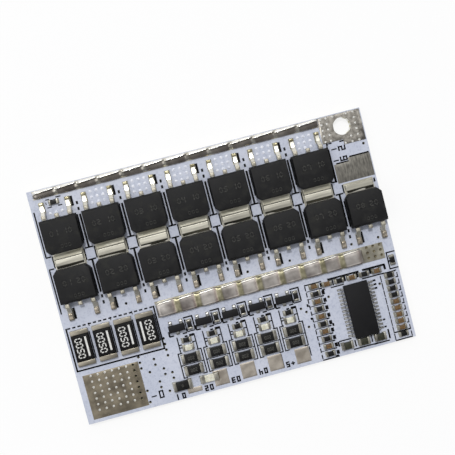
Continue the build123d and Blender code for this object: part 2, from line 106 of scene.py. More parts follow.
# One shader node. Settings go to sockets, to properties or, as "stops", to a colour ramp. Links come from
# an output, or from the first output of a node.
def addNode(tree, kind, settings=None, links=None):
    made = tree.nodes.new("ShaderNode" + kind)
    for key, value in (settings or {}).items():
        if key == "stops":
            band = made.color_ramp
            while len(band.elements) < len(value):
                band.elements.new(0.5)
            for element, (place, colour) in zip(band.elements, value):
                element.position = place
                element.color = srgb(colour)
        elif isinstance(key, int) or key in made.inputs:
            made.inputs[key].default_value = value
        else:
            setattr(made, key, value)
    for key, source in (links or {}).items():
        tree.links.new(getattr(source, "outputs", [source])[0], made.inputs[key])
    return made


# Material with an empty tree, and its object coordinates.
def newMaterial(name):
    made = bpy.data.materials.new(name)
    made.use_nodes = True
    tree = made.node_tree
    tree.nodes.clear()
    return made, tree, addNode(tree, "TexCoord").outputs["Object"]


# Liquid photo-imaged solder mask, screened and baked: satin white with a faint blue cast and orange
# peel. Faces that stand upright show the glass-epoxy laminate.
def solderMask():
    made, tree, coords = newMaterial("white solder mask on glass epoxy")
    grains = {"cloud": (5.0, 4.0), "speck": (0.35, 2.0), "weave": (0.25, 3.0), "peel": (0.5, 3.0)}
    noises = {}
    for key, (size, detail) in grains.items():
        look = {"Scale": 1 / (size * mm), "Detail": detail, "Roughness": 0.55}
        noises[key] = addNode(tree, "TexNoise", look, {"Vector": coords})
    mask = addNode(tree, "ValToRGB", {"stops": [(0.3, "B9BFCE"), (0.55, "C2C7D5"), (0.75, "C9CDD9")]},
                   {"Fac": noises["cloud"]})
    dust = addNode(tree, "ValToRGB", {"stops": [(0.3, "B9BECD"), (0.5, "FFFFFF"), (0.7, "FFFFFF")]},
                   {"Fac": noises["speck"]})
    laminate = addNode(tree, "ValToRGB", {"stops": [(0.35, "B5B08C"), (0.65, "CFCAAB")]},
                       {"Fac": noises["weave"]})
    face = addNode(tree, "Mix", {"data_type": "RGBA", "blend_type": "MULTIPLY", 0: 0.34},
                   {6: mask, 7: dust}).outputs[2]
    way = addNode(tree, "NewGeometry").outputs["Normal"]
    up = addNode(tree, "SeparateXYZ", links={"Vector": way}).outputs["Z"]
    level = addNode(tree, "Math", {"operation": "ABSOLUTE"}, {0: up})
    flat = addNode(tree, "Math", {"operation": "GREATER_THAN", 1: 0.5}, {0: level})
    both = addNode(tree, "Mix", {"data_type": "RGBA"}, {0: flat, 6: laminate, 7: face}).outputs[2]
    span = {"From Min": 0.3, "From Max": 0.7, "To Min": 0.34, "To Max": 0.46}
    satin = addNode(tree, "MapRange", span, {"Value": noises["speck"]})
    lift = addNode(tree, "Bump", {"Strength": 0.5, "Distance": 0.012 * mm}, {"Height": noises["peel"]})
    shader = addNode(tree, "BsdfPrincipled", {"IOR": 1.5},
                     {"Base Color": both, "Roughness": satin, "Normal": lift})
    addNode(tree, "OutputMaterial", links={"Surface": shader})
    return made


# Coating or surface of one plan. A cloud of noise tints it through the stops and sets its roughness from
# low to high, or leaves it at low, and a finer grain lifts it by a real depth. Each noise is (size in mm,
# detail, roughness). streak draws both out along the board's length, and each overlay (attribute, dark,
# light) gives another tone where that attribute is 1: tones of the thing itself, and also painted
# highlight, painted reflection and painted shade.
def coating(name, stops, cloud, grain, low, high, depthMm, strength, settings, streak=1.0, overlays=()):
    made, tree, coords = newMaterial(name)
    drawn = addNode(tree, "Mapping", {"Scale": (1 / streak, 1, 1)}, {"Vector": coords})
    patch, fine = [addNode(tree, "TexNoise", {"Scale": 1 / (size * mm), "Detail": detail, "Roughness": rough},
                           {"Vector": drawn}) for size, detail, rough in (cloud, grain)]
    tone = addNode(tree, "ValToRGB", {"stops": stops}, {"Fac": patch})
    for attribute, shade, shine in overlays:
        where = addNode(tree, "Attribute", {"attribute_name": attribute}).outputs["Fac"]
        over = addNode(tree, "ValToRGB", {"stops": [(0.35, shade), (0.62, shine)]}, {"Fac": fine})
        tone = addNode(tree, "Mix", {"data_type": "RGBA"}, {0: where, 6: tone, 7: over}).outputs[2]
    lift = addNode(tree, "Bump", {"Strength": strength, "Distance": depthMm * mm}, {"Height": fine})
    shader = addNode(tree, "BsdfPrincipled", dict(settings, Roughness=low),
                     {"Base Color": tone, "Normal": lift})
    if high is not None:
        span = {"From Min": 0.3, "From Max": 0.7, "To Min": low, "To Max": high}
        spread = addNode(tree, "MapRange", span, {"Value": patch})
        tree.links.new(spread.outputs[0], shader.inputs["Roughness"])
    addNode(tree, "OutputMaterial", links={"Surface": shader})
    return made


# Hot tin or solder over copper: a soft metal mirror with frozen ripples and a dull oxide bloom.
def tin(name, dark, light, grainMm, low, high, depthMm=0.02, spot=None, streak=1.0, overlays=()):
    stops = [(0.32, dark), (0.66, light)] if spot is None else [(0.3, dark), (0.48, spot), (0.68, light)]
    return coating(name, stops, (grainMm * 4, 3.0, 0.55), (grainMm, 2.0, 0.4), low, high, depthMm, 0.5,
                  {"Metallic": 1.0}, streak, overlays)


# Transfer-moulded epoxy: near black, matte, with a fine sparked grain and a dusty bloom on top.
def mouldedEpoxy(name, dark, middle, light):
    return coating(name, [(0.35, dark), (0.52, middle), (0.68, light)], (1.6, 5.0, 0.65), (0.12, 2.0, 0.55),
                  0.48, 0.7, 0.01, 0.7, {"IOR": 1.42, "Specular IOR Level": 0.35})


# Fired glaze, lacquer, ceramic or ink: two close tones and a light grain.
def enamel(name, dark, light, grainMm, low, high, depthMm=0.006, shine=0.5):
    grain = (grainMm, 3.0, 0.55)
    return coating(name, [(0.35, dark), (0.65, light)], grain, grain, low, high, depthMm, 0.6,
                  {"Specular IOR Level": shine})


# Cast resin over phosphor: pale cream that lets light in a little.
def ledResin():
    grain = (0.6, 2.0, 0.55)
    glow = {"Subsurface Weight": 0.15, "Subsurface Radius": (0.0004, 0.0003, 0.0002)}
    stops = [(0.35, "C4C2AE"), (0.65, "E0DFD2")]
    return coating("cast phosphor resin", stops, grain, grain, 0.28, None, 0.01, 0.4, glow)


maskWhite = solderMask()
# The lower bus's overlays: a painted highlight on the north rims, a painted pinkish reflection near each
# pane's right side, and a tone on the ridges between panes.
paneTin = tin("tin lead solder panes with painted highlight and reflection", "857D79", "CDC8C2", 0.8, 0.34, 0.46, 0.012, "ABA59F",
              1.0, (("crest", "D8D4C8", "F6F4EC"), ("rose", "85736C", "A69990"),
                    ("band", "88836A", "AFA98D")))
# Paler than the mask round it: a painted highlight on each dome, besides its real gloss.
glossMask = enamel("white mask pooled over holes, paled as painted highlight", "C6CBD8", "EEF0F6", 0.3, 0.2, 0.26, 0.003)
# The wire pads are darker than bright tin: painted dark reflection of the surroundings, besides a dull
# finish.
wireTin = tin("dull tinned wire pad with painted dark reflection", "77736C", "A5A199", 0.16, 0.38, 0.55, 0.02)
loadTin = tin("wiped tinned wire pad with painted dark reflection", "64625D", "88857D", 0.3, 0.38, 0.55, 0.02, None, 0.2)
barrelTin = tin("tin plated hole", "D2D0C8", "F0EFEA", 0.5, 0.3, 0.44, 0.004)
strawTin = tin("bare tinned land", "989384", "C2BEAE", 0.5, 0.3, 0.44, 0.012)
viaBrown = tin("flux stained via", "5C5546", "878069", 0.3, 0.38, 0.52, 0.01)
# The battery pad's dark tone is partly painted dark reflection of the surroundings.
batteryTin = tin("dull warm tinned battery pad with painted dark reflection", "6E675A", "968D7B", 0.45, 0.42, 0.55, 0.012)
tapTin = tin("pale tinned tap pad", "A0988D", "C2BBB0", 0.6, 0.5, 0.62, 0.01)
# The upper bus's near-white overlay is a painted highlight along its north rim.
busTin = tin("tin lead solder poured along the edge", "7C756E", "A7A199", 0.9, 0.2, 0.32, 0.016, None, 1.0,
             (("crest", "E6E3DA", "F8F7F2"), ("band", "A5A095", "CFCCC2")))
shoulderTin = tin("dull sheared tin", "A19C8E", "C9C4B5", 0.4, 0.46, 0.6, 0.006)
leadTin = tin("matte tin plated chip lead", "8F8F8C", "BDBDBA", 0.4, 0.36, 0.48, 0.004)
greyTin = tin("dull reflowed solder", "8E8B83", "B9B6AD", 0.4, 0.34, 0.48, 0.006)
oliveTin = tin("solder with old flux", "8F8666", "C9C2A2", 0.5, 0.26, 0.4, 0.006)
footTin = tin("solder over a tinned land", "7F776A", "B5AC9D", 0.16, 0.44, 0.56, 0.008)
brightTin = tin("freshly wetted solder", "B4AF9B", "E2DECC", 0.6, 0.24, 0.34, 0.008)
legTin = tin("tin plated copper leg", "C6C3B6", "E4E1D6", 0.8, 0.24, 0.34, 0.004)
# The tab's overlays are painted: a lighter strip against the upper bodies' shadow, and near-black shade next
# to the lower bodies and in the groove.
tabTin = tin("tin plated copper tab", "98958A", "CBC8BA", 0.5, 0.4, 0.52, 0.014, None, 7.0,
             (("crest", "B5B19D", "DAD7C6"), ("band", "282723", "434138")))
endTin = tin("barrel plated tin end", "85827A", "BFBCB0", 0.4, 0.26, 0.4, 0.008)
shuntTin = tin("tinned alloy shunt end", "7B7568", "B0AA9C", 0.4, 0.3, 0.42, 0.01, None, 4.0)
epoxyBlack = mouldedEpoxy("transfer moulded epoxy", "0A0A0B", "131314", "232320")
chipBlack = mouldedEpoxy("fine moulded epoxy", "08080B", "0B0B0E", "0F0F12")
lacquerBlack = enamel("black shunt lacquer", "020202", "070707", 0.5, 0.5, 0.65, 0.006, 0.2)
glazeBlack = enamel("black resistor glaze", "0A0A0A", "141412", 0.4, 0.3, 0.45, 0.006, 0.3)
ceramicBrown = enamel("sintered capacitor ceramic", "42301B", "7B5F37", 0.22, 0.4, 0.55)
oliveCoat = enamel("olive resin coat", "1F2118", "33331F", 0.4, 0.35, 0.5)
# Black ink, used also for bars that are painted shade beside the transistors and shunts.
inkAndShadeBlack = enamel("black screen printed ink and painted shade", "020203", "060708", 0.3, 0.6, 0.8, 0.006, 0.15)
inkWhite = enamel("white pad printed ink", "C4C4C0", "E6E6E2", 0.2, 0.45, 0.6)
laserMark = enamel("shallow laser mark in epoxy", "262625", "454541", 0.3, 0.7, 0.85)
inkGrey = enamel("grey laser mark", "4A4A46", "66655F", 0.15, 0.6, 0.75)
# Black fill below the tops of some holes: painted shade, where those holes show dark.
holeShade = enamel("black fill painted as shade in holes", "101012", "1A1A1C", 0.2, 0.6, 0.8)
resinCream = ledResin()
print("materials made")


# Mesh helpers
# Object of the data given, linked into the scene.
def addObject(name, data):
    made = bpy.data.objects.new(name, data)
    bpy.context.scene.collection.objects.link(made)
    return made


# Object from point and face arrays, with a value per point for each attribute given.
def meshPiece(name, points, faces, material, slotName, sharp=38, attributes=None):
    data = bpy.data.meshes.new(name)
    data.from_pydata(np.asarray(points, float).tolist(), [], [tuple(f) for f in faces])
    for key, values in (attributes or {}).items():
        field = data.attributes.new(key, "FLOAT", "POINT")
        field.data.foreach_set("value", values.astype(np.float32))
    return finishPiece(name, data, material, sharp)


# Faces outwards, smooth apart from edges sharper than the angle given, one material, on the body.
def finishPiece(name, data, material, sharp):
    work = bmesh.new()
    work.from_mesh(data)
    bmesh.ops.remove_doubles(work, verts=work.verts, dist=1e-7)
    bmesh.ops.recalc_face_normals(work, faces=work.faces)
    work.to_mesh(data)
    work.free()
    data.shade_smooth()
    data.set_sharp_from_angle(angle=math.radians(sharp))
    data.materials.clear()
    data.materials.append(material)
    piece = addObject(name, data)
    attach(piece, "root")
    return piece


# Join (points, faces) pairs into one.
def heapUp(parts):
    points, faces, count = [], [], 0
    for somePoints, someFaces in parts:
        points.append(np.asarray(somePoints, float))
        faces += [tuple(i + count for i in f) for f in someFaces]
        count += len(somePoints)
    return np.vstack(points), faces


# Quads of a rows by columns grid.
def sheetFaces(rows, columns):
    i, j = np.meshgrid(np.arange(rows - 1), np.arange(columns - 1), indexing="ij")
    a = (i * columns + j).ravel()
    return np.stack([a, a + columns, a + columns + 1, a + 1], 1)


# Closed solid under a height field: the grid on top, its mirror at the base, and walls between.
def mound(x, y, z, base):
    rows, columns = x.shape
    top = np.stack([x, y, z], -1).reshape(-1, 3)
    under = np.stack([x, y, np.full_like(z, base)], -1).reshape(-1, 3)
    quads = sheetFaces(rows, columns)
    n = rows * columns
    faces = [tuple(f) for f in quads] + [tuple(f[::-1] + n) for f in quads]
    rim = np.concatenate([
        np.arange(columns),
        np.arange(1, rows) * columns + columns - 1,
        (rows - 1) * columns + np.arange(columns - 2, -1, -1),
        np.arange(rows - 2, 0, -1) * columns,
    ])
    following = np.roll(rim, -1)
    faces += [(a, b, b + n, a + n) for a, b in zip(rim, following)]
    return np.vstack([top, under]), faces


# Even grid over a rectangle.
def grid(x0, x1, y0, y1, step):
    across = max(3, int(round((x1 - x0) / step)) + 1)
    along = max(3, int(round((y1 - y0) / step)) + 1)
    return np.meshgrid(np.linspace(x0, x1, across), np.linspace(y0, y1, along), indexing="ij")


# Quarter round: 0 at the edge, where t is 0, and 1 from t = 1 on.
def quarterRound(t):
    return np.sqrt(np.clip(1 - (1 - np.clip(t, 0, 1)) ** 2, 0, 1))


# 1 inside a rectangle, falling to 0 at its sides along a quarter round as wide as edge.
def softRect(x, y, x0, x1, y0, y1, edge):
    nearest = np.minimum(np.minimum(x - x0, x1 - x), np.minimum(y - y0, y1 - y))
    return quarterRound(nearest / edge)


# Pillow of solder over a rectangle: height low + rise * softRect^power over the solid's base.
def pillow(x0, x1, y0, y1, step, edge, base, low, rise, power=1.0):
    x, y = grid(x0, x1, y0, y1, step)
    return mound(x, y, low + rise * softRect(x, y, x0, x1, y0, y1, edge) ** power, base)


# Points of a ring, counterclockwise.
def circle(x, y, radius, sides):
    angle = np.arange(sides) * 2 * math.pi / sides
    return np.stack([x + radius * np.cos(angle), y + radius * np.sin(angle)], 1)


# One (radius, z) profile turned round each upright axis: a closed one makes tubes, an open one is capped.
def turned(centres, profile, sides, closed=False):
    count = len(profile)
    j = np.arange(sides)
    k = (j + 1) % sides
    starts = [(q * sides, (q + 1) % count * sides) for q in range(count if closed else count - 1)]
    faces = np.concatenate([np.stack([a + j, a + k, b + k, b + j], 1) for a, b in starts]).tolist()
    if not closed:
        faces += [j[::-1].tolist(), (j + (count - 1) * sides).tolist()]
    return heapUp([(np.vstack([np.column_stack([circle(x, y, radius, sides), np.full(sides, z)])
                               for radius, z in profile]), faces) for x, y in centres])


# Smooth wavy field: the mean of six sines of about the given length, each with its own way and phase.
def ripple(x, y, size, seed):
    source = np.random.default_rng(seed)
    total = np.zeros_like(x)
    for _ in range(6):
        turn, phase = source.uniform(0, 2 * math.pi), source.uniform(0, 2 * math.pi)
        wave = 2 * math.pi / (size * source.uniform(0.7, 1.6))
        total += np.sin((x * math.cos(turn) + y * math.sin(turn)) * wave + phase)
    return total / 6


# The CAD piece's own form with its edges eased, as a piece that stands for it.
def roundedCopy(name, material, width, slotName, steps=2):
    work = bmesh.new()
    work.from_mesh(nodes[name].data)
    bmesh.ops.remove_doubles(work, verts=work.verts, dist=2e-6)
    bmesh.ops.dissolve_limit(work, angle_limit=math.radians(1), verts=work.verts, edges=work.edges)
    edges = [e for e in work.edges if len(e.link_faces) == 2 and e.calc_face_angle(0) > math.radians(25)]
    bmesh.ops.bevel(work, geom=edges, offset=width * mm, segments=steps, profile=0.6, affect="EDGES",
                    clamp_overlap=True)
    data = bpy.data.meshes.new(name + "_eased")
    work.to_mesh(data)
    work.free()
    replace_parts(finishPiece(name + "_eased", data, material, 32), name)


# Give a CAD node that keeps its own mesh a finish.
def dress(name, material):
    data = nodes[name].data
    data.materials.clear()
    data.materials.append(material)


# Board
boardLook = {"holeSides": 20, "viaRadius": 0.24, "mountSides": 64, "mountRadius": 1.6,
             "mountInset": (3.8, 2.4), "shadeDepth": 0.55, "plating": 0.0336, "lip": 0.02}


# Flat plate with round holes (x, y, radius, sides): constrained triangles between the outline and the
# holes, top and bottom, with walls. rise lifts the top by a function of place, and spread adds inner
# points for it to act on.
def drilledPlate(outline, holes, low, high, rise=None, spread=None):
    loops = [np.asarray(outline, float)] + [circle(*hole) for hole in holes]
    points = np.vstack(loops + ([] if spread is None else [spread]))
    edges, start = [], 0
    for loop in loops:
        count = len(loop)
        edges += [(start + i, start + (i + 1) % count) for i in range(count)]
        start += count
    flat, _, faces, *_ = geometry.delaunay_2d_cdt([Vector(p) for p in points / mm], edges, [], 1, 1e-4)
    flat = np.array([tuple(p) for p in flat]) * mm
    centres = np.array([flat[list(f)].mean(0) for f in faces])
    inside = insideLoop(centres, loops[0])
    for x, y, radius, _ in holes:
        inside &= np.hypot(centres[:, 0] - x, centres[:, 1] - y) > radius * 0.97
    kept = [faces[i] for i in np.flatnonzero(inside)]
    n = len(flat)
    heights = np.full(n, high) if rise is None else high + rise(flat[:, 0], flat[:, 1])
    both = np.vstack([np.column_stack([flat, heights]), np.column_stack([flat, np.full(n, low)])])
    allFaces = [tuple(f) for f in kept] + [tuple(i + n for i in reversed(f)) for f in kept]
    sides = dict.fromkeys((a, b) for f in kept for a, b in zip(f, f[1:] + f[:1]))
    allFaces += [(a, a + n, b + n, b) for a, b in sides if (b, a) not in sides]
    used = sorted({i for f in allFaces for i in f})
    renumber = {before: after for after, before in enumerate(used)}
    return both[used], [tuple(renumber[i] for i in f) for f in allFaces]


# Even-odd test of points against a closed outline.
def insideLoop(points, loop):
    x, y = points[:, 0], points[:, 1]
    inside = np.zeros(len(points), bool)
    for (x0, y0), (x1, y1) in zip(loop, np.roll(loop, -1, 0)):
        if y0 != y1:
            inside ^= ((y0 > y) != (y1 > y)) & (x < (x1 - x0) * (y - y0) / (y1 - y0) + x0)
    return inside


# Corners of a rectangle, counterclockwise.
def rectangle(x0, x1, y0, y1):
    return np.array([(x0, y0), (x1, y0), (x1, y1), (x0, y1)])


viaSides, viaRadius = boardLook["holeSides"], boardLook["viaRadius"] * mm
holeX = rightEdge - boardLook["mountInset"][0] * mm
holeY = topEdge - boardLook["mountInset"][1] * mm
mountHole = (holeX, holeY, boardLook["mountRadius"] * mm, boardLook["mountSides"])
batteryLow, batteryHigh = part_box("battery_negative_pad")
chargeLow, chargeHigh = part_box("charge_negative_pad")

# Holes at the charger pad: mm to the right of the mounting hole, and mm above it
chargeColumns = ((-3.45, (2.0, 1.0, 0.0, -1.0, -2.05)), (-2.45, (2.0, 1.0, 0.0, -1.0, -2.05)),
                 (2.5, (2.0, 1.0, 0.0, -1.0, -2.05, -3.05)), (1.25, (2.0, -2.05, -3.05)), (-1.2, (2.0,)),
                 (0.0, (-3.05,)))
chargeVias = [(holeX + dx * mm, holeY + dy * mm) for dx, rises in chargeColumns for dy in rises]

# Holes on the grid of the battery pad, and those there and elsewhere that are filled black below as painted
# shade
viaX = batteryLow.x + 0.13 * mm + np.arange(13) * 1.27 * mm
viaY = {row: batteryHigh.y - 0.35 * mm - row * 1.03 * mm for row in range(-3, 8)}
batteryVias = [(x, viaY[row]) for x in viaX[1:8] for row in range(7)]
shadedViaRows = {8: (-1, 0, 1, 5, 7), 9: (2,), 10: (0, 1, 4, 5), 11: (2, 3, 6), 12: (0, -1, -2, -3, 3, 4)}
shadedViaSingles = ((-18.3, -2.0), (3.7, -2.1), (11.4, -2.1), (22.75, -2.1), (27.7, -2.1), (16.5, -10.1),
                  (25.95, -10.2), (11.2, -10.9), (12.0, -11.7), (11.8, -14.4), (29.2, 14.7))
shadedVias = [(viaX[column], viaY[row]) for column, rows in shadedViaRows.items() for row in rows]
shadedVias += [(x * mm, y * mm) for x, y in shadedViaSingles]
shadedVias += [v for v in batteryVias if v[0] == viaX[7]]
barrels = [v for v in chargeVias + batteryVias if v not in shadedVias]


# Holes of a via's size at the places given.
def viaHoles(places):
    return [(x, y, viaRadius, viaSides) for x, y in places]


points, faces = drilledPlate(rectangle(boardLow.x, rightEdge, boardLow.y, topEdge),
                             [mountHole] + viaHoles(barrels + shadedVias), boardLow.z, boardTop)
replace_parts(meshPiece("board_plate", points, faces, maskWhite, "white_board", 30), "circuit_board")

# Black fill that closes the lower part of the covered holes: painted shade, so they show dark
shadeSection = [(viaRadius * 0.999, z) for z in (boardLow.z, boardTop - boardLook["shadeDepth"] * mm)]
meshPiece("via_painted_shade", *turned(shadedVias, shadeSection, viaSides), holeShade, "black_print", 30)

# Plated barrels: thin tubes from face to face with a small lip
tubes = []
for centres, radius, sides in ((barrels, viaRadius, viaSides), ([mountHole[:2]], *mountHole[2:])):
    outer, inner = radius * 0.999, radius - boardLook["plating"] * mm
    lip = boardTop + boardLook["lip"] * mm
    section = [(outer, boardLow.z), (outer, boardTop), (inner, lip), (inner, boardLow.z)]
    tubes.append(turned(centres, section, sides, closed=True))
meshPiece("plated_barrels", *heapUp(tubes), barrelTin, "tinned_copper", 40)
print("board drilled")


# Tinned pads
padLook = {"edge": 0.35, "crown": 0.06, "ripple": 0.02, "thick": 0.02, "step": 0.5, "clear": 0.12,
           "notchInset": 4.0, "chargeNotch": 0.95, "loadNotch": 0.7}
tapLook = {"wide": 2.6, "pitch": 5.0, "firstCut": 1.85, "edge": 0.3, "thick": 0.015, "rise": 0.05,
           "ripple": 0.02}


# Distance from points to the nearest side of an outline.
def edgeDistance(x, y, loop):
    nearest = np.full(len(x), 1.0)
    for (x0, y0), (x1, y1) in zip(loop, np.roll(loop, -1, 0)):
        dx, dy = x1 - x0, y1 - y0
        t = np.clip(((x - x0) * dx + (y - y0) * dy) / (dx * dx + dy * dy), 0, 1)
        nearest = np.minimum(nearest, np.hypot(x - x0 - t * dx, y - y0 - t * dy))
    return nearest


# Pad in place of a CAD node: a quarter-round rim, a slight crown and slow ripples where the tin froze.
def tinnedPad(name, outline, holes, material, standsFor, seed):
    loop = np.asarray(outline, float)
    step, rim = padLook["step"] * mm, padLook["edge"] * mm
    x, y = np.meshgrid(np.arange(loop[:, 0].min(), loop[:, 0].max(), step) + step / 3,
                       np.arange(loop[:, 1].min(), loop[:, 1].max(), step) + step / 3)
    x, y = x.ravel(), y.ravel()
    spread = np.column_stack([x, y])
    inside = insideLoop(spread, loop) & (edgeDistance(x, y, loop) > rim * 0.5)
    for centreX, centreY, radius, _ in holes:
        inside &= np.hypot(x - centreX, y - centreY) > radius + padLook["clear"] * mm

    # Rise at points of the pad: quarter round of the distance to its edge, times crown and ripple.
    def rise(px, py):
        crown = padLook["crown"] + padLook["ripple"] * ripple(px, py, 2.4 * mm, seed)
        return quarterRound(edgeDistance(px, py, loop) / rim) * crown * mm

    thick = boardTop + padLook["thick"] * mm
    pad = drilledPlate(loop, holes, boardTop, thick, rise, spread[inside])
    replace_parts(meshPiece(name, *pad, material, "tinned_copper", 50), standsFor)


stepX = chargeHigh.x - padLook["notchInset"] * mm
stepY = chargeLow.y + padLook["chargeNotch"] * mm
chargeOutline = [(chargeLow.x, stepY), (stepX, stepY), (stepX, chargeLow.y), (chargeHigh.x, chargeLow.y),
                 (chargeHigh.x, chargeHigh.y), (chargeLow.x, chargeHigh.y)]
tinnedPad("charger_pad_tin", chargeOutline, [mountHole] + viaHoles(chargeVias), wireTin,
          "charge_negative_pad", 3)
loadLow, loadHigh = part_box("load_negative_pad")
stepY = loadHigh.y - padLook["loadNotch"] * mm
loadOutline = [(loadLow.x, loadLow.y), (loadHigh.x, loadLow.y), (loadHigh.x, loadHigh.y),
               (stepX, loadHigh.y), (stepX, stepY), (loadLow.x, stepY)]
tinnedPad("load_pad_tin", loadOutline, [], loadTin, "load_negative_pad", 4)
tinnedPad("battery_pad_tin", rectangle(batteryLow.x, batteryHigh.x, batteryLow.y, batteryHigh.y),
          viaHoles(batteryVias), batteryTin, "battery_negative_pad", 5)


# Five small pads, each a soft-edged mound of tin; the first is cut short under a chip part.
def tapPads():
    low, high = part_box("cell_tap_pads")
    wide = tapLook["wide"] * mm
    made = []
    for k in range(5):
        x0 = high.x - wide - tapLook["pitch"] * mm * (4 - k)
        y1 = high.y - (0 if k else tapLook["firstCut"] * mm)
        x, y = grid(x0, x0 + wide, low.y, y1, 0.13 * mm)
        rise = tapLook["rise"] + tapLook["ripple"] * ripple(x, y, 1.8 * mm, 20 + k)
        shape = softRect(x, y, x0, x0 + wide, low.y, y1, tapLook["edge"] * mm)
        made.append(mound(x, y, boardTop + tapLook["thick"] * mm + shape * rise * mm, boardTop))
    return heapUp(made)


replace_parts(meshPiece("tap_pad_tin", *tapPads(), tapTin, "tinned_copper", 50), "cell_tap_pads")
print("pads tinned")


# Solder buses
upperBus = {"panes": 13, "stepsPerPane": 26, "columns": 45, "band": 0.09, "bandRise": 0.05, "level": 0.5,
            "dish": 0.03, "northRim": 0.3, "rimAt": 0.36, "rimWidth": 0.13, "northFall": 0.17,
            "southRim": 0.03, "fall": 0.1, "wander": 0.02, "flat": 5.0, "southFlat": 3.0, "northBow": 0.1,
            "southBow": 0.26, "lean": 0.3}
lowerBus = {"panes": 10, "stepsPerPane": 36, "columns": 45, "band": 0.15, "bandRise": 0.02, "level": 0.74,
            "dish": 0.09, "northRim": 0.1, "rimAt": 0.76, "rimWidth": 0.08, "northFall": 0.12,
            "southRim": 0.05, "fall": 0.03, "wander": 0.025, "flat": 4.0, "southFlat": 6.0,
            "northBow": 0.18, "southBow": 0.16, "lean": 0.1}


# Row of frozen solder panes in place of a CAD node. Height = (level + bandRise * band(t) - dish *
# (1 - band) * (1 - (2t - 1)^2) + rims(v)) times the edge curve (1 - |v|^flat)^(1 / flat): t runs along one
# pane, v across the run. The north rim climbs steeply to rimAt and falls slowly beyond it. The attribute
# band gives the ridges between panes another tone. Two more attributes are painted light: a highlight
# along the north rim, and a pinkish reflection near each pane's right side.
def solderRun(name, nodeName, look, material, seed):
    low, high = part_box(nodeName)
    source = np.random.default_rng(seed)
    count = look["panes"]
    u = np.linspace(0, 1, count * look["stepsPerPane"] + 1)[:, None]
    borders = np.linspace(0, 1, count + 1)
    borders[1:-1] += source.uniform(-0.06, 0.06, count - 1) / count
    pane = np.clip(np.searchsorted(borders, u, side="right") - 1, 0, count - 1)
    t = np.clip((u - borders[pane]) / (borders[pane + 1] - borders[pane]), 0, 1)
    inward = np.minimum(u, 1 - u) * count
    band = 1 - np.clip((np.minimum(t, 1 - t) - look["band"] * 0.6) / (look["band"] * 0.6), 0, 1)
    band = band * band * (3 - 2 * band) * (inward > 0.3)
    ends = quarterRound(inward * 5.0)
    v = np.sin(np.linspace(-math.pi / 2, math.pi / 2, look["columns"]))[None, :]
    middle, half = (low.y + high.y) / 2, (high.y - low.y) / 2
    bow = source.uniform(0.86, 1.0, count)[pane] * (1 - (2 * t - 1) ** 4)
    southHalf = half * (1 - look["southBow"] + look["southBow"] * bow)
    northHalf = half * (1 - look["northBow"] + look["northBow"] * bow * (0.3 + 0.7 * t ** 2))
    width = np.where(v < 0, southHalf, northHalf) * (0.75 + 0.25 * ends)
    lean = look["lean"] * (t - 0.5) * np.sqrt(np.clip(bow, 0, 1))
    x = low.x + (high.x - low.x) * u + 0 * v
    y = middle + width * v + lean * half * (1 - v ** 4)
    dish = look["dish"] * source.uniform(0.7, 1.3, count)[pane] * (1 - band) * (1 - (2 * t - 1) ** 2)
    hook = look["rimAt"] + 0.16 * (2 * t - 1) ** 4 * np.sign(t - 0.5)
    climb = 1 / (1 + np.exp(-(v - hook) / (look["rimWidth"] * 0.35)))
    rims = climb * (look["northRim"] - look["northFall"] * np.clip(v - hook, 0, 1) / (1 - look["rimAt"]))
    rims = rims + look["southRim"] * np.exp(-((v + 0.86) / 0.1) ** 2)
    z = look["level"] + look["bandRise"] * band - dish + rims * (1 - 0.6 * band)
    z = z + look["fall"] * np.minimum(v, 0.3) + look["wander"] * ripple(x, y, 2.0 * mm, seed + 5)
    power = np.where(v < 0, look["southFlat"], look["flat"])
    edge = (1 - np.abs(v) ** power) ** (1 / power) * ends
    z = seat + np.clip(z, 0, 0.94) * mm * edge + 0.015 * mm * (1 - edge)
    # Painted pinkish reflection near each pane's right side, of random strength per pane.
    rose = np.exp(-((t - 0.82) / 0.07) ** 2) * source.uniform(0.3, 1.0, count)[pane]
    # The rim tone below is a painted highlight where the north rim climbs.
    tones = {"band": band, "rose": rose, "crest": np.clip(climb * 1.6 - 0.4, 0, 1) * (1 - 0.5 * band)}
    tones = {key: np.tile((values + 0 * x).ravel(), 2) for key, values in tones.items()}
    run = mound(x, y, z, seat - 0.01 * mm)
    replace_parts(meshPiece(name, *run, material, "solder", 70, tones), nodeName)


solderRun("upper_bus_solder", "upper_solder_bus", upperBus, busTin, 41)
solderRun("lower_bus_solder", "lower_solder_bus", lowerBus, paneTin, 42)
dress("bus_lands", strawTin)

# Solder-filled holes in the land at the bus's right end: low discs, (share of radius, rise) from outside in
tailLook = {"inset": (2.95, 0.3), "pitch": (1.2, 0.95), "grid": (3, 3), "radius": 0.27, "sides": 16,
            "section": ((1.0, -0.005), (0.75, 0.05), (0.5, 0.01))}
land = max(islands("bus_lands"), key=lambda b: b[1].x)[1]
tailPlaces = [(land.x - (tailLook["inset"][0] - i * tailLook["pitch"][0]) * mm,
               land.y - (tailLook["inset"][1] + j * tailLook["pitch"][1]) * mm)
              for i in range(tailLook["grid"][0]) for j in range(tailLook["grid"][1])]
tailSection = [(share * tailLook["radius"] * mm, seat + rise * mm) for share, rise in tailLook["section"]]
tailDiscs = turned(tailPlaces, tailSection, tailLook["sides"])
meshPiece("tail_via_fill", *tailDiscs, viaBrown, "tinned_copper", 60)
print("buses laid")


# Transistors; the mould's pin leaves a shallow ring on each body, as (radius, rise) corners of its section
switchLook = {"edge": 0.12, "leadEdge": 0.07, "legAt": 2.29, "pinAt": 1.5, "pinSides": 24,
              "pin": ((0.43718, -0.004), (0.46538, 0.006), (0.52179, 0.006), (0.55, -0.004))}
switches = sorted(n for n in nodes if n.startswith("power_switch_") and n.endswith("_body"))


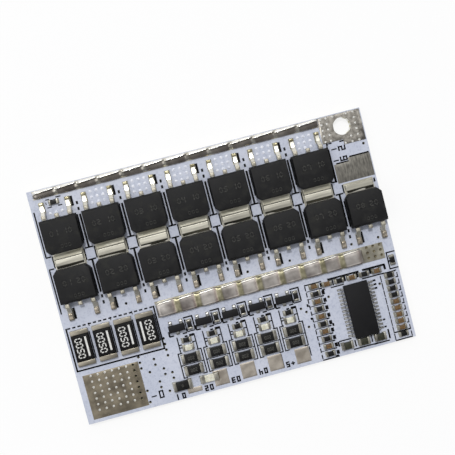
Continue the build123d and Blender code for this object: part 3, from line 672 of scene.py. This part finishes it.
# One transistor: middle, row, side of its legs, leg tips, tab edge, the face they leave and body box.
def switchFacts(name):
    low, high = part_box(name)
    frameLow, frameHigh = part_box(name.replace("_body", "_leadframe"))
    upper = frameHigh.y - high.y > low.y - frameLow.y
    tip, tab = (frameHigh.y, frameLow.y) if upper else (frameLow.y, frameHigh.y)
    return {"x": (low.x + high.x) / 2, "y": (low.y + high.y) / 2, "upper": upper, "side": 1 if upper else -1,
            "tip": tip, "tab": tab, "face": high.y if upper else low.y, "low": low, "high": high}


switchPlaces = [switchFacts(name) for name in switches]
uppers = sorted((f for f in switchPlaces if f["upper"]), key=lambda f: f["x"])
lowers = sorted((f for f in switchPlaces if not f["upper"]), key=lambda f: f["x"])
tabLine = (uppers[0]["tab"] + lowers[0]["tab"]) / 2
pins = []
for name, f in zip(switches, switchPlaces):
    roundedCopy(name, epoxyBlack, switchLook["edge"], "moulded_body")
    roundedCopy(name.replace("_body", "_leadframe"), legTin, switchLook["leadEdge"], "tinned_leads", 1)
    away = f["side"] * switchLook["pinAt"] * mm
    section = [(radius * mm, f["high"].z + rise * mm) for radius, rise in switchLook["pin"]]
    pins.append(turned([(f["x"] - away, f["y"] - away)], section, switchLook["pinSides"],
                       closed=True))
meshPiece("ejector_rings", *heapUp(pins), epoxyBlack, "moulded_body", 60)
dress("power_switch_lands", tabTin)
print("transistors dressed")


# Cross-section of the joined tabs: (place in mm north of the middle line, height in mm over the lands).
# A tab with no partner ends at loneEnd, at the height loneHeight.
tabLook = {"section": ((-1.32, 0.5), (-0.9, 0.51), (-0.8, 0.55), (-0.3, 0.57), (0.2, 0.55), (0.28, 0.51),
                       (0.38, 0.58), (0.46, 0.59), (0.7, 0.585), (0.95, 0.56), (1.15, 0.52), (1.32, 0.5)),
           "half": 2.56, "rim": 0.14, "ripple": 0.014, "loneEnd": 0.14, "loneHeight": 0.1,
           "shadeEdge": -0.84, "groove": 0.33, "liftFrom": 0.45}


# Tin over both tabs of a pair and the gap between them: the section above, smoothed, carried along X, with
# its ends rounded. The attribute band is painted shade: a dark band next to the lower body's edge and a
# dark line in the groove. The second attribute paints the strip north of the groove lighter, against the
# upper bodies' shadow.
def tabSolder():
    places, heights = np.array(tabLook["section"]).T
    made = []
    for number, lower in enumerate(lowers):
        paired = any(abs(f["x"] - lower["x"]) < 1 * mm for f in uppers)
        end = places[-1] if paired else tabLook["loneEnd"]
        x, y = grid(lower["x"] - tabLook["half"] * mm, lower["x"] + tabLook["half"] * mm,
                    tabLine + places[0] * mm, tabLine + end * mm, 0.028 * mm)
        x, y = x[::3], y[::3]
        shape = np.interp((y - tabLine) / mm, places, heights)
        shape = (np.roll(shape, 1, 1) + 2 * shape + np.roll(shape, -1, 1)) / 4
        shape[:, 0], shape[:, -1] = heights[0], heights[-1] if paired else tabLook["loneHeight"]
        edge = softRect(x, y * 0, x.min(), x.max(), -1, 1, tabLook["rim"] * mm)
        wave = tabLook["ripple"] * ripple(x / 4, y, 1.2 * mm, 60 + number)
        made.append(mound(x, y, seat + (shape + wave) * mm * (0.3 + 0.7 * edge), seat + 0.02 * mm))
    points, faces = heapUp(made)
    across = (points[:, 1] - tabLine) / mm
    # Painted shade: a dark band next to the lower body's edge and a dark line in the groove.
    flux = np.clip((tabLook["shadeEdge"] - across) / 0.06 + 0.5, 0, 1)
    flux = np.maximum(flux, 0.75 * np.exp(-((across - tabLook["groove"]) / 0.06) ** 2))
    # Painted light: the strip north of the groove lighter, against the upper bodies' shadow.
    paintedLift = np.clip((across - tabLook["liftFrom"]) / 0.1, 0, 1)
    meshPiece("tab_solder", points, faces, tabTin, "solder", 60, {"band": flux, "crest": paintedLift})


tabSolder()
footLook = {"half": 0.46, "rise": 0.64, "skirt": 0.3, "skirtLong": 1.75, "beyond": 0.33, "upperCover": 0.6,
            "lowerCover": 1.35}


# Solder on each foot: a skirt round the leg, and a flat dome ((1 - u^8) * (1 - v^8))^(1/2) over its end.
def footSolder(places, cover):
    made = []
    for number, f in enumerate(places):
        outer = f["tip"] + f["side"] * footLook["beyond"] * mm
        for dx in (-switchLook["legAt"], switchLook["legAt"]):
            x0, x1 = f["x"] + (dx - footLook["half"]) * mm, f["x"] + (dx + footLook["half"]) * mm
            y0, y1 = sorted((outer, outer - f["side"] * footLook["skirtLong"] * mm))
            made.append(pillow(x0, x1, y0, y1, 0.08 * mm, 0.2 * mm, seat - 0.01 * mm, seat,
                               footLook["skirt"] * mm))
            y0, y1 = sorted((outer, outer - f["side"] * cover * mm))
            x, y = grid(x0, x1, y0, y1, 0.06 * mm)
            u, v = 2 * (x - x0) / (x1 - x0) - 1, 2 * (y - y0) / (y1 - y0) - 1
            dome = np.sqrt(np.clip((1 - u ** 8) * (1 - v ** 8), 0, 1))
            lump = 1 + 0.05 * ripple(x, y, 0.7 * mm, 90 + number + int(dx))
            made.append(mound(x, y, seat + (0.02 + dome * footLook["rise"] * lump) * mm, seat + 0.01 * mm))
    return heapUp(made)


meshPiece("upper_foot_solder", *footSolder(uppers, footLook["upperCover"]), oliveTin, "solder", 60)
meshPiece("lower_foot_solder", *footSolder(lowers, footLook["lowerCover"]), footTin, "solder", 60)

# Caps of tin, one on each clipped middle leg and one where each outer leg leaves the body: (place along
# the body, half width, reach from the body)
capLook = {"caps": ((0, 0.36, 0.74), (-2.29, 0.4, 0.8), (2.29, 0.4, 0.8)), "from": 0.1, "base": 1.26,
           "low": 1.3, "rise": 0.12, "edge": 0.2}
caps = []
for f in switchPlaces:
    for dx, half, reach in capLook["caps"]:
        y0, y1 = sorted(f["face"] + f["side"] * out * mm for out in (capLook["from"], reach))
        caps.append(pillow(f["x"] + (dx - half) * mm, f["x"] + (dx + half) * mm, y0, y1, 0.07 * mm,
                           capLook["edge"] * mm, seat + capLook["base"] * mm, seat + capLook["low"] * mm,
                           capLook["rise"] * mm))
meshPiece("clipped_leg_tin", *heapUp(caps), shoulderTin, "tinned_leads", 60)
print("fillets laid")


# Small parts: edge widths, and the solder at their feet, in mm
partLook = {"shunt": 0.1, "shuntEnd": 0.08, "chip": 0.08, "channel": 0.07, "glaze": 0.04, "ceramic": 0.06,
            "end": 0.05, "lead": 0.02, "fillet": 0.16, "filletRise": 0.55, "leadFillet": 0.12,
            "leadFilletRise": 0.16, "sideFillet": 0.06, "toe": 0.1, "foot": 0.75}
endNodes = ("bleed_resistor_ends", "chip_resistor_ends", "chip_capacitor_ends", "filter_part_ends",
            "balance_led_ends")
leadNodes = ("protection_chip_leads", "balance_transistor_legs")
dressed = [(f"current_shunt_{number}_body", lacquerBlack, "shunt", "shunt_coating")
           for number in range(1, 5)]
dressed += [("current_shunt_ends", shuntTin, "shuntEnd", "tinned_ends"),
            ("protection_chip_body", chipBlack, "chip", "moulded_body"),
            ("balance_transistor_bodies", chipBlack, "channel", "moulded_body"),
            ("bleed_resistor_bodies", glazeBlack, "glaze", "resistor_glaze"),
            ("chip_resistor_bodies", glazeBlack, "glaze", "resistor_glaze"),
            ("chip_capacitor_bodies", ceramicBrown, "ceramic", "capacitor_ceramic"),
            ("filter_part_bodies", oliveCoat, "ceramic", "resistor_glaze"),
            ("balance_led_bodies", resinCream, "shunt", "led_lens", 3)]
dressed += [(name, endTin, "end", "tinned_ends") for name in endNodes]
dressed += [(name, leadTin, "lead", "tinned_leads", 1) for name in leadNodes]
for name, material, key, slotName, *steps in dressed:
    roundedCopy(name, material, partLook[key], slotName, *steps)

# Solder fillet round the foot of every chip end: a low skirt that climbs the end's outer faces
reach = partLook["fillet"] * mm
fillets = []
for low, high in [box for name in endNodes for box in islands(name)]:
    outX, outY = (reach, reach * 0.4) if high.y - low.y >= high.x - low.x else (reach * 0.4, reach)
    fillets.append(pillow(low.x - outX, high.x + outX, low.y - outY, high.y + outY, 0.08 * mm, reach * 1.6,
                          boardTop, boardTop + 0.02 * mm, (high.z - low.z) * partLook["filletRise"], 1.6))
meshPiece("chip_fillets", *heapUp(fillets), brightTin, "solder", 60)

# Solder under the feet of the protection chip and the balance transistors
out = partLook["leadFillet"] * mm
fillets = []
for boxes in [islands(name) for name in leadNodes]:
    middle = sum((low.x + high.x) / 2 for low, high in boxes) / len(boxes)
    for low, high in boxes:
        x0, x1, y0, y1 = low.x - out, high.x + out, low.y - out, high.y + out
        if high.x - low.x > high.y - low.y:
            tip, away = (low.x, -1) if low.x < middle else (high.x, 1)
            x0, x1 = sorted((tip + away * partLook["toe"] * mm, tip - away * partLook["foot"] * mm))
            y0, y1 = low.y - partLook["sideFillet"] * mm, high.y + partLook["sideFillet"] * mm
        fillets.append(pillow(x0, x1, y0, y1, 0.1 * mm, out, boardTop, boardTop + 0.02 * mm,
                              partLook["leadFilletRise"] * mm))
meshPiece("lead_fillets", *heapUp(fillets), greyTin, "solder", 60)
print("small parts dressed")


# Print: every mark is a thin bar of ink; some of the bars are painted shade
printLook = {"ink": 0.025, "line": 0.24, "heavy": 0.36, "endBar": 0.27, "digitStroke": 0.25}
segments = {"0": "abcdef", "1": "bc", "2": "abged", "3": "abgcd", "4": "fgbc", "5": "afgcd", "6": "afgedc",
            "7": "abc", "8": "abcdefg", "+": "gv"}


# One bar of ink: centre, size and turn in millimetres and degrees, on a level in metres.
def bar(x, y, wide, tall, turn=0.0, low=boardTop):
    return x, y, wide, tall, turn, low


# Bars from rows of (x, y, wide, tall), all moved by x and y.
def bars(rows, x=0.0, y=0.0):
    return [bar(x + dx, y + dy, wide, tall) for dx, dy, wide, tall in rows]


# Boxes for rows of bars: corner = centre + turn * (+-wide / 2, +-tall / 2), for all rows at once.
def barMesh(rows):
    x, y, wide, tall, turn, low = np.array(rows, float).T
    across = np.array([-0.5, 0.5, 0.5, -0.5]) * wide[:, None]
    along = np.array([-0.5, -0.5, 0.5, 0.5]) * tall[:, None]
    c, s = np.cos(np.radians(turn))[:, None], np.sin(np.radians(turn))[:, None]
    flat = np.stack([x[:, None] + across * c - along * s, y[:, None] + across * s + along * c], -1) * mm
    heights = low[:, None] + np.repeat([0, printLook["ink"] * mm], 4)[None, :]
    points = np.concatenate([np.concatenate([flat, flat], 1), heights[:, :, None]], 2).reshape(-1, 3)
    box = np.array([(0, 1, 5, 4), (1, 2, 6, 5), (2, 3, 7, 6), (3, 0, 4, 7), (4, 5, 6, 7), (3, 2, 1, 0)])
    return points, (box[None] + 8 * np.arange(len(rows))[:, None, None]).reshape(-1, 4)


# Chosen sides of a frame.
def outlineBars(x0, x1, y0, y1, stroke, sides):
    wide, tall = x1 - x0 + stroke, y1 - y0 + stroke
    places = {"n": ((x0 + x1) / 2, y1, wide, stroke), "s": ((x0 + x1) / 2, y0, wide, stroke),
              "w": (x0, (y0 + y1) / 2, stroke, tall), "e": (x1, (y0 + y1) / 2, stroke, tall)}
    return bars(places[side] for side in sides)


# Broken line between two points.
def dashes(x0, y0, x1, y1, stroke, count, fill):
    length = math.hypot(x1 - x0, y1 - y0) / count * fill
    turn = math.degrees(math.atan2(y1 - y0, x1 - x0))
    shares = [(i + 0.5) / count for i in range(count)]
    return [bar(x0 + (x1 - x0) * share, y0 + (y1 - y0) * share, length, stroke, turn) for share in shares]


# Run of plain figures of straight strokes along a turned line, centred at x, y.
def figures(text, x, y, wide, tall, stroke, pitch=0.0, turn=0.0, low=boardTop):
    w, h = (wide - stroke) / 2, (tall - stroke) / 2
    strokes = {"a": (0, h, wide, stroke), "d": (0, -h, wide, stroke), "g": (0, 0, wide, stroke),
               "b": (w, h / 2, stroke, h + stroke), "c": (w, -h / 2, stroke, h + stroke),
               "f": (-w, h / 2, stroke, h + stroke), "e": (-w, -h / 2, stroke, h + stroke),
               "v": (0, 0, stroke, wide)}
    c, s = math.cos(math.radians(turn)), math.sin(math.radians(turn))
    made = []
    for i, sign in enumerate(text):
        for key in segments[sign]:
            across, up, *size = strokes[key]
            across += (i - (len(text) - 1) / 2) * pitch
            made.append(bar(x + across * c - up * s, y + across * s + up * c, *size, turn, low))
    return made


tabMiddle = tabLine / mm
upperX = [f["x"] / mm for f in uppers]
lowerX = [f["x"] / mm for f in lowers]
upperTip, lowerTip = uppers[0]["tip"] / mm, lowers[0]["tip"] / mm
between = [(a + b) / 2 for a, b in zip(lowerX, lowerX[1:])]
left, right = boardLow.x / mm, rightEdge / mm


# Separators with their end bars and dashes, lines beside the tabs, a heavy bar beside one leg each, and
# black bars at each body's sides that are painted shade under the drafted sides.
def switchMarks():
    line, heavy, end = printLook["line"], printLook["heavy"], printLook["endBar"]
    high, low = tabMiddle + 1.07, tabMiddle - 1.07
    above = ((0, 3.0, heavy, 6.0), (0, 6.95, heavy, 0.55), (0, 8.0, heavy, 0.55))
    below = ((0, -2.95, heavy, 5.9), (0, 0, 1.4, end), (0, -6.65, heavy, 0.6), (0, -7.75, heavy, 0.6))
    made = []
    for x in between[:-1]:
        made += bars([(0, 0, 1.4, end)], x, high)
    for x in between:
        made += bars(above, x, high) + bars(below, x, low)
    # Black bars under each body's sides: painted shade under the drafted sides, where the gap to the mask
    # shows dark.
    for f in switchPlaces:
        middle = f["y"] / mm + f["side"] * 0.4
        made += [bar(x, middle, line, 4.7) for x in (f["low"].x / mm + 0.06, f["high"].x / mm - 0.06)]
    for x in upperX:
        made += bars([(-2.82, 0, line, 2.1), (2.82, 0, line, 2.1)], x, tabMiddle)
    made += [bar(x + 2.94, upperTip - 0.62, 0.44, 1.75) for x in upperX[:-1]]
    made += [bar(x - 1.62, lowerTip + 0.78, 0.42, 2.0) for x in lowerX]
    made += bars([(-2.85, -0.35, line, 1.5), (2.95, -0.1, 0.3, 0.7)], lowerX[-1], tabMiddle)
    hook = ((-0.35, 0.15, 0.9, line), (-0.8, 0.45, line, 0.7), (-0.12, 1.2, line, 2.2))
    made += bars(hook, between[-1], high)
    made += bars([(0, 4.1, line, 8.1), (0.4, 0, 0.9, line)], left + 0.4, high)
    made += bars([(0, -4.0, line, 8.0), (0.4, 0, 0.9, line)], left + 0.4, low)
    return made


# Lines at the charger and load pads with a plain figure for each.
def padMarks():
    stroke = printLook["digitStroke"]
    made = bars([(27.95, 13.05, 3.6, 0.26), (24.75, 12.35, 2.3, 0.26), (22.75, 15.4, 0.25, 0.75),
                 (23.85, 14.95, 0.95, 0.2), (23.75, 12.9, 0.95, 0.2)])
    made += figures("2", 25.25, 14.85, 0.85, 1.35, stroke, turn=90)
    made += figures("6", 25.15, 13.0, 0.85, 1.35, stroke, turn=90)
    made += bars([(-4.3, 16.05, 1.2, 0.25), (-6.6, 16.1, 0.6, 0.2)], right)
    return made


# Frame round the shunts, with a broken upper side, a black bar beside each shunt's right side that is painted
# shadow, and short marks between the shunts.
def shuntMarks():
    boxes = [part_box(f"current_shunt_{n}_body") for n in range(1, 5)]
    low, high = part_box("current_shunt_ends")
    x0, x1 = low.x / mm - 0.5, high.x / mm + 0.4
    y0, y1 = low.y / mm - 0.75, high.y / mm + 0.5
    made = outlineBars(x0, x1, y0, y1, 0.28, "swe") + dashes(x0, y1, x1, y1, 0.26, 17, 0.62)
    # Painted shadow: a black bar along each shunt's right side.
    for low, high in boxes:
        made.append(bar(high.x / mm + 0.13, (low.y + high.y) / 2 / mm, 0.2, (high.y - low.y) / mm + 0.2))
    made += [bar((a[1].x + b[0].x) / 2 / mm + 0.02, y1 - 0.1, 0.14, 0.6) for a, b in zip(boxes, boxes[1:])]
    return made


# Bars in each balance channel, from its middle line, and round each balance transistor
channelBars = ((1.1, -10.3, 0.9, 0.42), (-1.3, -11.6, 0.55, 0.2), (-1.3, -12.1, 0.55, 0.2),
               (1.2, -11.55, 0.6, 0.2), (0.1, -10.3, 0.5, 0.3))
triodeBars = ((-1.2, -9.72, 0.75, 0.26), (1.15, -9.72, 0.8, 0.26), (-1.58, -9.3, 0.3, 0.95),
              (1.62, -8.3, 0.22, 1.9), (2.3, -7.05, 1.7, 0.26), (3.05, -8.3, 0.24, 2.5),
              (1.62, -9.3, 0.34, 0.5), (0, -9.55, 0.5, 0.22), (2.3, -9.6, 1.3, 0.2),
              (2.3, -9.25, 0.3, 0.3))


# Frames, ticks and corners in the balance channels.
def channelMarks():
    line = 0.2
    bleeds = middles("bleed_resistor_bodies")[1:]
    rowsY = sorted({round(m.y / mm, 2) for m in bleeds})
    low, high = rowsY[0] - 1.15, rowsY[-1] + 1.1
    middle = (rowsY[0] + rowsY[-1]) / 2
    made = bars([(5.75, -19.0, line, 2.5), (10.95, -18.6, line, 1.7)])
    for x in sorted({round(m.x / mm, 2) for m in bleeds}):
        made += outlineBars(x - 2.08, x + 2.08, low, high, line, "we")
        made += outlineBars(x - 1.55, x + 1.55, -12.95, -10.25, line, "we")
        made += bars([(-1.75, low, 0.7, line), (1.75, low, 0.7, line), (-1.7, high, 0.8, line),
                      (1.7, high, 0.8, line), (-1.9, middle, 0.5, line), (1.9, middle, 0.5, line),
                      (0, middle, 3.2, 0.12)], x)
        made += bars(channelBars, x)
    for m in middles("balance_transistor_bodies"):
        made += bars(triodeBars, m.x / mm)
    return made


# Plain figures beside the cell taps, read from the other side, and a minus and a figure at the battery.
def tapMarks():
    made = [bar(-17.75, -19.15, 0.95, 0.2)] + figures("0", -16.4, -19.1, 0.85, 1.4, 0.24)
    for text, x, y in (("01", -13.1, -20.4), ("02", -8.0, -20.2), ("03", -3.05, -20.05), ("04", 2.0, -19.9),
                       ("+5", 7.0, -19.9)):
        made += figures(text, x, y, 0.66, 1.05, printLook["digitStroke"], 0.92, 180)
    return made


# Lines and dots round the protection chip's small parts
controlBars = ((14.3, -7.1, 3.2, 0.22), (14.3, -20.85, 3.1, 0.22), (12.5, -10.65, 0.35, 0.5),
               (12.6, -13.1, 0.35, 0.4), (16.1, -15.1, 0.35, 0.5), (19.9, -7.08, 5.8, 0.32),
               (25.5, -7.05, 4.1, 0.36), (27.5, -7.45, 0.4, 1.0), (18.5, -8.62, 2.4, 0.22),
               (25.1, -8.55, 4.0, 0.22), (15.9, -8.6, 0.6, 0.22), (17.85, -7.75, 0.28, 1.2),
               (22.4, -7.6, 0.42, 0.95), (24.8, -7.6, 0.4, 0.95), (20.1, -7.7, 0.3, 0.9),
               (27.9, -20.85, 3.1, 0.22), (27.9, -19.4, 3.0, 0.22), (28.0, -8.6, 2.4, 0.22),
               (28.6, -6.7, 0.3, 0.3), (17.5, -18.35, 2.3, 0.22), (16.2, -18.8, 0.3, 0.9),
               (20.9, -20.4, 4.6, 0.22), (25.4, -19.3, 0.3, 1.7), (23.8, -20.45, 2.9, 0.22),
               (19.15, -19.4, 0.25, 1.2), (22.2, -19.3, 0.22, 1.3), (25.15, -16.6, 0.42, 0.3),
               (25.1, -17.9, 0.42, 0.3), (25.1, -9.35, 0.5, 0.34), (25.1, -10.05, 0.5, 0.34),
               (25.1, -10.75, 0.5, 0.34))


# Frames and combs round the protection chip's small parts, with the lines and dots above.
def controlMarks():
    chips = middles("chip_resistor_bodies") + middles("chip_capacitor_bodies")
    ladder = sorted((m.y / mm for m in chips if abs(m.x / mm - 14.35) < 0.3), reverse=True)
    made = bars(controlBars) + outlineBars(28.4, 29.85, -8.1, -5.15, 0.22, "nsw")
    for x, top, bottom, *broken in ((12.8, -7.1, -20.8, 0.2, 12, 0.72), (26.35, -8.8, -20.85, 0.17, 9, 0.9),
                                    (29.4, -8.8, -20.85, 0.17, 10, 0.75)):
        made += dashes(x, top, x, bottom, *broken)
    for i, y in enumerate(ladder):
        made += bars([(15.75, -0.1, 0.55, 0.72), (15.45, -0.68, 0.55, 0.24)], y=y)
        made += bars([(14.3, -0.69, 2.9, 0.12)], y=y) if i < 9 else []
    made += [bar(29.2, m.y / mm + 0.55, 0.4, 0.2) for m in chips if abs(m.x / mm - 27.95) < 0.3]
    return made


# Broken brackets round the chip between the first transistor's legs.
def cornerMarks():
    chip = next(m for m in middles("chip_resistor_bodies") if m.y > 0)
    return bars([(-1.0, 0.62, 0.7, 0.16), (0.95, 0.72, 0.9, 0.2), (-0.9, -0.78, 0.8, 0.16),
                 (0.95, -0.78, 0.75, 0.2), (-1.35, 0, 0.14, 0.4)], chip.x / mm, chip.y / mm)


ink = switchMarks() + padMarks() + shuntMarks() + channelMarks() + tapMarks() + controlMarks()
ink += cornerMarks()
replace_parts(meshPiece("ink_and_painted_shade_lines", *barMesh(ink), inkAndShadeBlack, "black_print", 20), "board_print")
print("board printed")


# White bar and plain figures on each shunt; the last one lies the other way round.
def shuntFigures():
    made = []
    for number in range(1, 5):
        low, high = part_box(f"current_shunt_{number}_body")
        x, y = (low.x + high.x) / 2 / mm, (low.y + high.y) / 2 / mm
        side = -1 if number == 4 else 1
        made += figures("0050", x - side * 0.42, y, 0.78, 1.28, 0.19, 0.93, -90 * side, high.z)
        made.append(bar(x + side * 0.88, y + 0.1, 0.34, 3.5, 0, high.z))
    return barMesh(made)


# Faint figures on the bleed resistors and a single one on the link.
def glazeFigures():
    made = []
    for low, high in islands("bleed_resistor_bodies"):
        x, y = (low.x + high.x) / 2 / mm, (low.y + high.y) / 2 / mm
        if x < -12:
            made += figures("0", x, y, 0.4, 0.42, 0.1, low=high.z)
        else:
            made += figures("200", x, y, 0.3, 0.6, 0.07, 0.42, 180, high.z)
    return barMesh(made)


# Faint plain numbers on the transistors: the place in the row at the left, the row at the right.
def bodyFigures():
    made = []
    for row, places in ((1, uppers), (2, lowers)):
        for number, f in enumerate(places, 1):
            x, y, top = f["x"] / mm, f["y"] / mm, f["high"].z
            made += figures(f"0{number}", x - 1.1, y + 0.5, 0.62, 0.95, 0.16, 0.85, low=top)
            made += figures(f"{row}0", x + 1.3, y + 0.5, 0.62, 0.95, 0.16, 0.85, low=top)
            made += figures("000", x + 0.4, y - 1.9, 0.5, 0.6, 0.12, 0.66, low=top)
    return barMesh(made)


meshPiece("shunt_figures", *shuntFigures(), inkWhite, "shunt_coating", 20)
meshPiece("resistor_figures", *glazeFigures(), inkGrey, "resistor_glaze", 20)
meshPiece("body_figures", *bodyFigures(), laserMark, "moulded_body", 20)

# Mask over plated holes between the upper legs: h cos(pi r / 2) with a pit of exp(-(r / 0.35)^2) in the
# middle, where r runs from 0 to 1 at the rim. The first transistor has only the row next to its body.
domeLook = {"radius": 0.28, "height": 0.1, "pit": 0.03, "rings": 6, "around": 14}
domePlaces = [((x + dx + 0.05 * dy) * mm, (upperTip + dy + 0.25) * mm) for i, x in enumerate(upperX)
              for dx in (-1.05, 0.0, 1.05) for dy in (-2.1, -1.1, -0.1) if i or dy < -1.5]
share = np.linspace(1, 0, domeLook["rings"] + 1)
lift = domeLook["height"] * np.cos(math.pi / 2 * share) - domeLook["pit"] * np.exp(-(share / 0.35) ** 2)
domeSection = np.column_stack([domeLook["radius"] * share * mm, boardTop + lift * mm])
meshPiece("mask_domes", *turned(domePlaces, domeSection, domeLook["around"]), glossMask, "white_board", 60)
print("marks made")


# Stage, light and camera
cameraLook = {"place": (-3.7, 13.0, 133.8), "turn": (-2.13, -3.19, -14.55), "pixels": 757.3, "frame": 455.0}
lightLook = {"low": 0.3, "north": 1.15, "key": 6.4, "keySize": 0.16, "fill": 0.24, "fillSize": 0.25}


# Pale floor that shows white to the camera and keeps a soft shadow.
def stage():
    made, tree, _ = newMaterial("matte white sweep")
    path = addNode(tree, "LightPath").outputs
    seen = path["Is Camera Ray"]
    for ray in ("Is Glossy Ray", "Is Transmission Ray"):
        seen = addNode(tree, "Math", {"operation": "MAXIMUM"}, {0: seen, 1: path[ray]})
    share = addNode(tree, "Math", {"operation": "MULTIPLY", 1: 0.8}, {0: seen})
    matte = addNode(tree, "BsdfPrincipled", {"Base Color": srgb("F4F4F4"), "Roughness": 0.9})
    glow = addNode(tree, "Emission", {"Color": (1, 1, 1, 1), "Strength": 1.0})
    mixed = addNode(tree, "MixShader", links={0: share, 1: matte, 2: glow})
    addNode(tree, "OutputMaterial", links={"Surface": mixed})
    data = bpy.data.meshes.new("sweep")
    reach = 1.5
    corners = rectangle(-reach, reach, -reach, reach)
    data.from_pydata([(x, y, 0) for x, y in corners], [], [(0, 1, 2, 3)])
    data.materials.append(made)
    floor = addObject("sweep", data)
    floor.location.z = boardLow.z - 0.02 * mm


# Square area lamp at a place in metres, turned to the board.
def softbox(name, place, size, power):
    data = bpy.data.lights.new(name, "AREA")
    data.shape = "RECTANGLE"
    data.size = data.size_y = size
    data.energy = power
    lamp = addObject(name, data)
    lamp.location = place
    lamp.rotation_euler = (-Vector(place)).to_track_quat("-Z", "Y").to_euler()


# Soft surround, brighter beyond the upper edge, that shows white to the camera.
def world():
    made = bpy.data.worlds.new("studio")
    bpy.context.scene.world = made
    made.use_nodes = True
    tree = made.node_tree
    tree.nodes.clear()
    seen = addNode(tree, "LightPath").outputs["Is Camera Ray"]
    way = addNode(tree, "TexCoord").outputs["Generated"]
    north = addNode(tree, "SeparateXYZ", links={"Vector": way}).outputs["Y"]
    span = {"From Min": -0.3, "From Max": 0.9, "To Min": lightLook["low"], "To Max": lightLook["north"]}
    strength = addNode(tree, "MapRange", span, {"Value": north})
    dim = addNode(tree, "Background", {"Color": srgb("F4F4F6")}, {"Strength": strength})
    white = addNode(tree, "Background", {"Color": (1, 1, 1, 1), "Strength": 1.0})
    mixed = addNode(tree, "MixShader", links={0: seen, 1: dim, 2: white})
    addNode(tree, "OutputWorld", links={"Surface": mixed})


# Camera over the board, turned as the photograph is.
def camera():
    data = bpy.data.cameras.new("view")
    data.sensor_width = 36.0
    data.lens = cameraLook["pixels"] / cameraLook["frame"] * data.sensor_width
    data.clip_start = 0.005
    made = addObject("view", data)
    made.location = [c * mm for c in cameraLook["place"]]
    made.rotation_euler = [math.radians(a) for a in cameraLook["turn"]]
    bpy.context.scene.camera = made


stage()
world()
softbox("key", (-0.05, 0.54, 1.07), lightLook["keySize"], lightLook["key"])
softbox("fill", (-0.25, -0.05, 0.35), lightLook["fillSize"], lightLook["fill"])
camera()
bpy.context.scene.view_settings.view_transform = "Standard"
print("stage set")
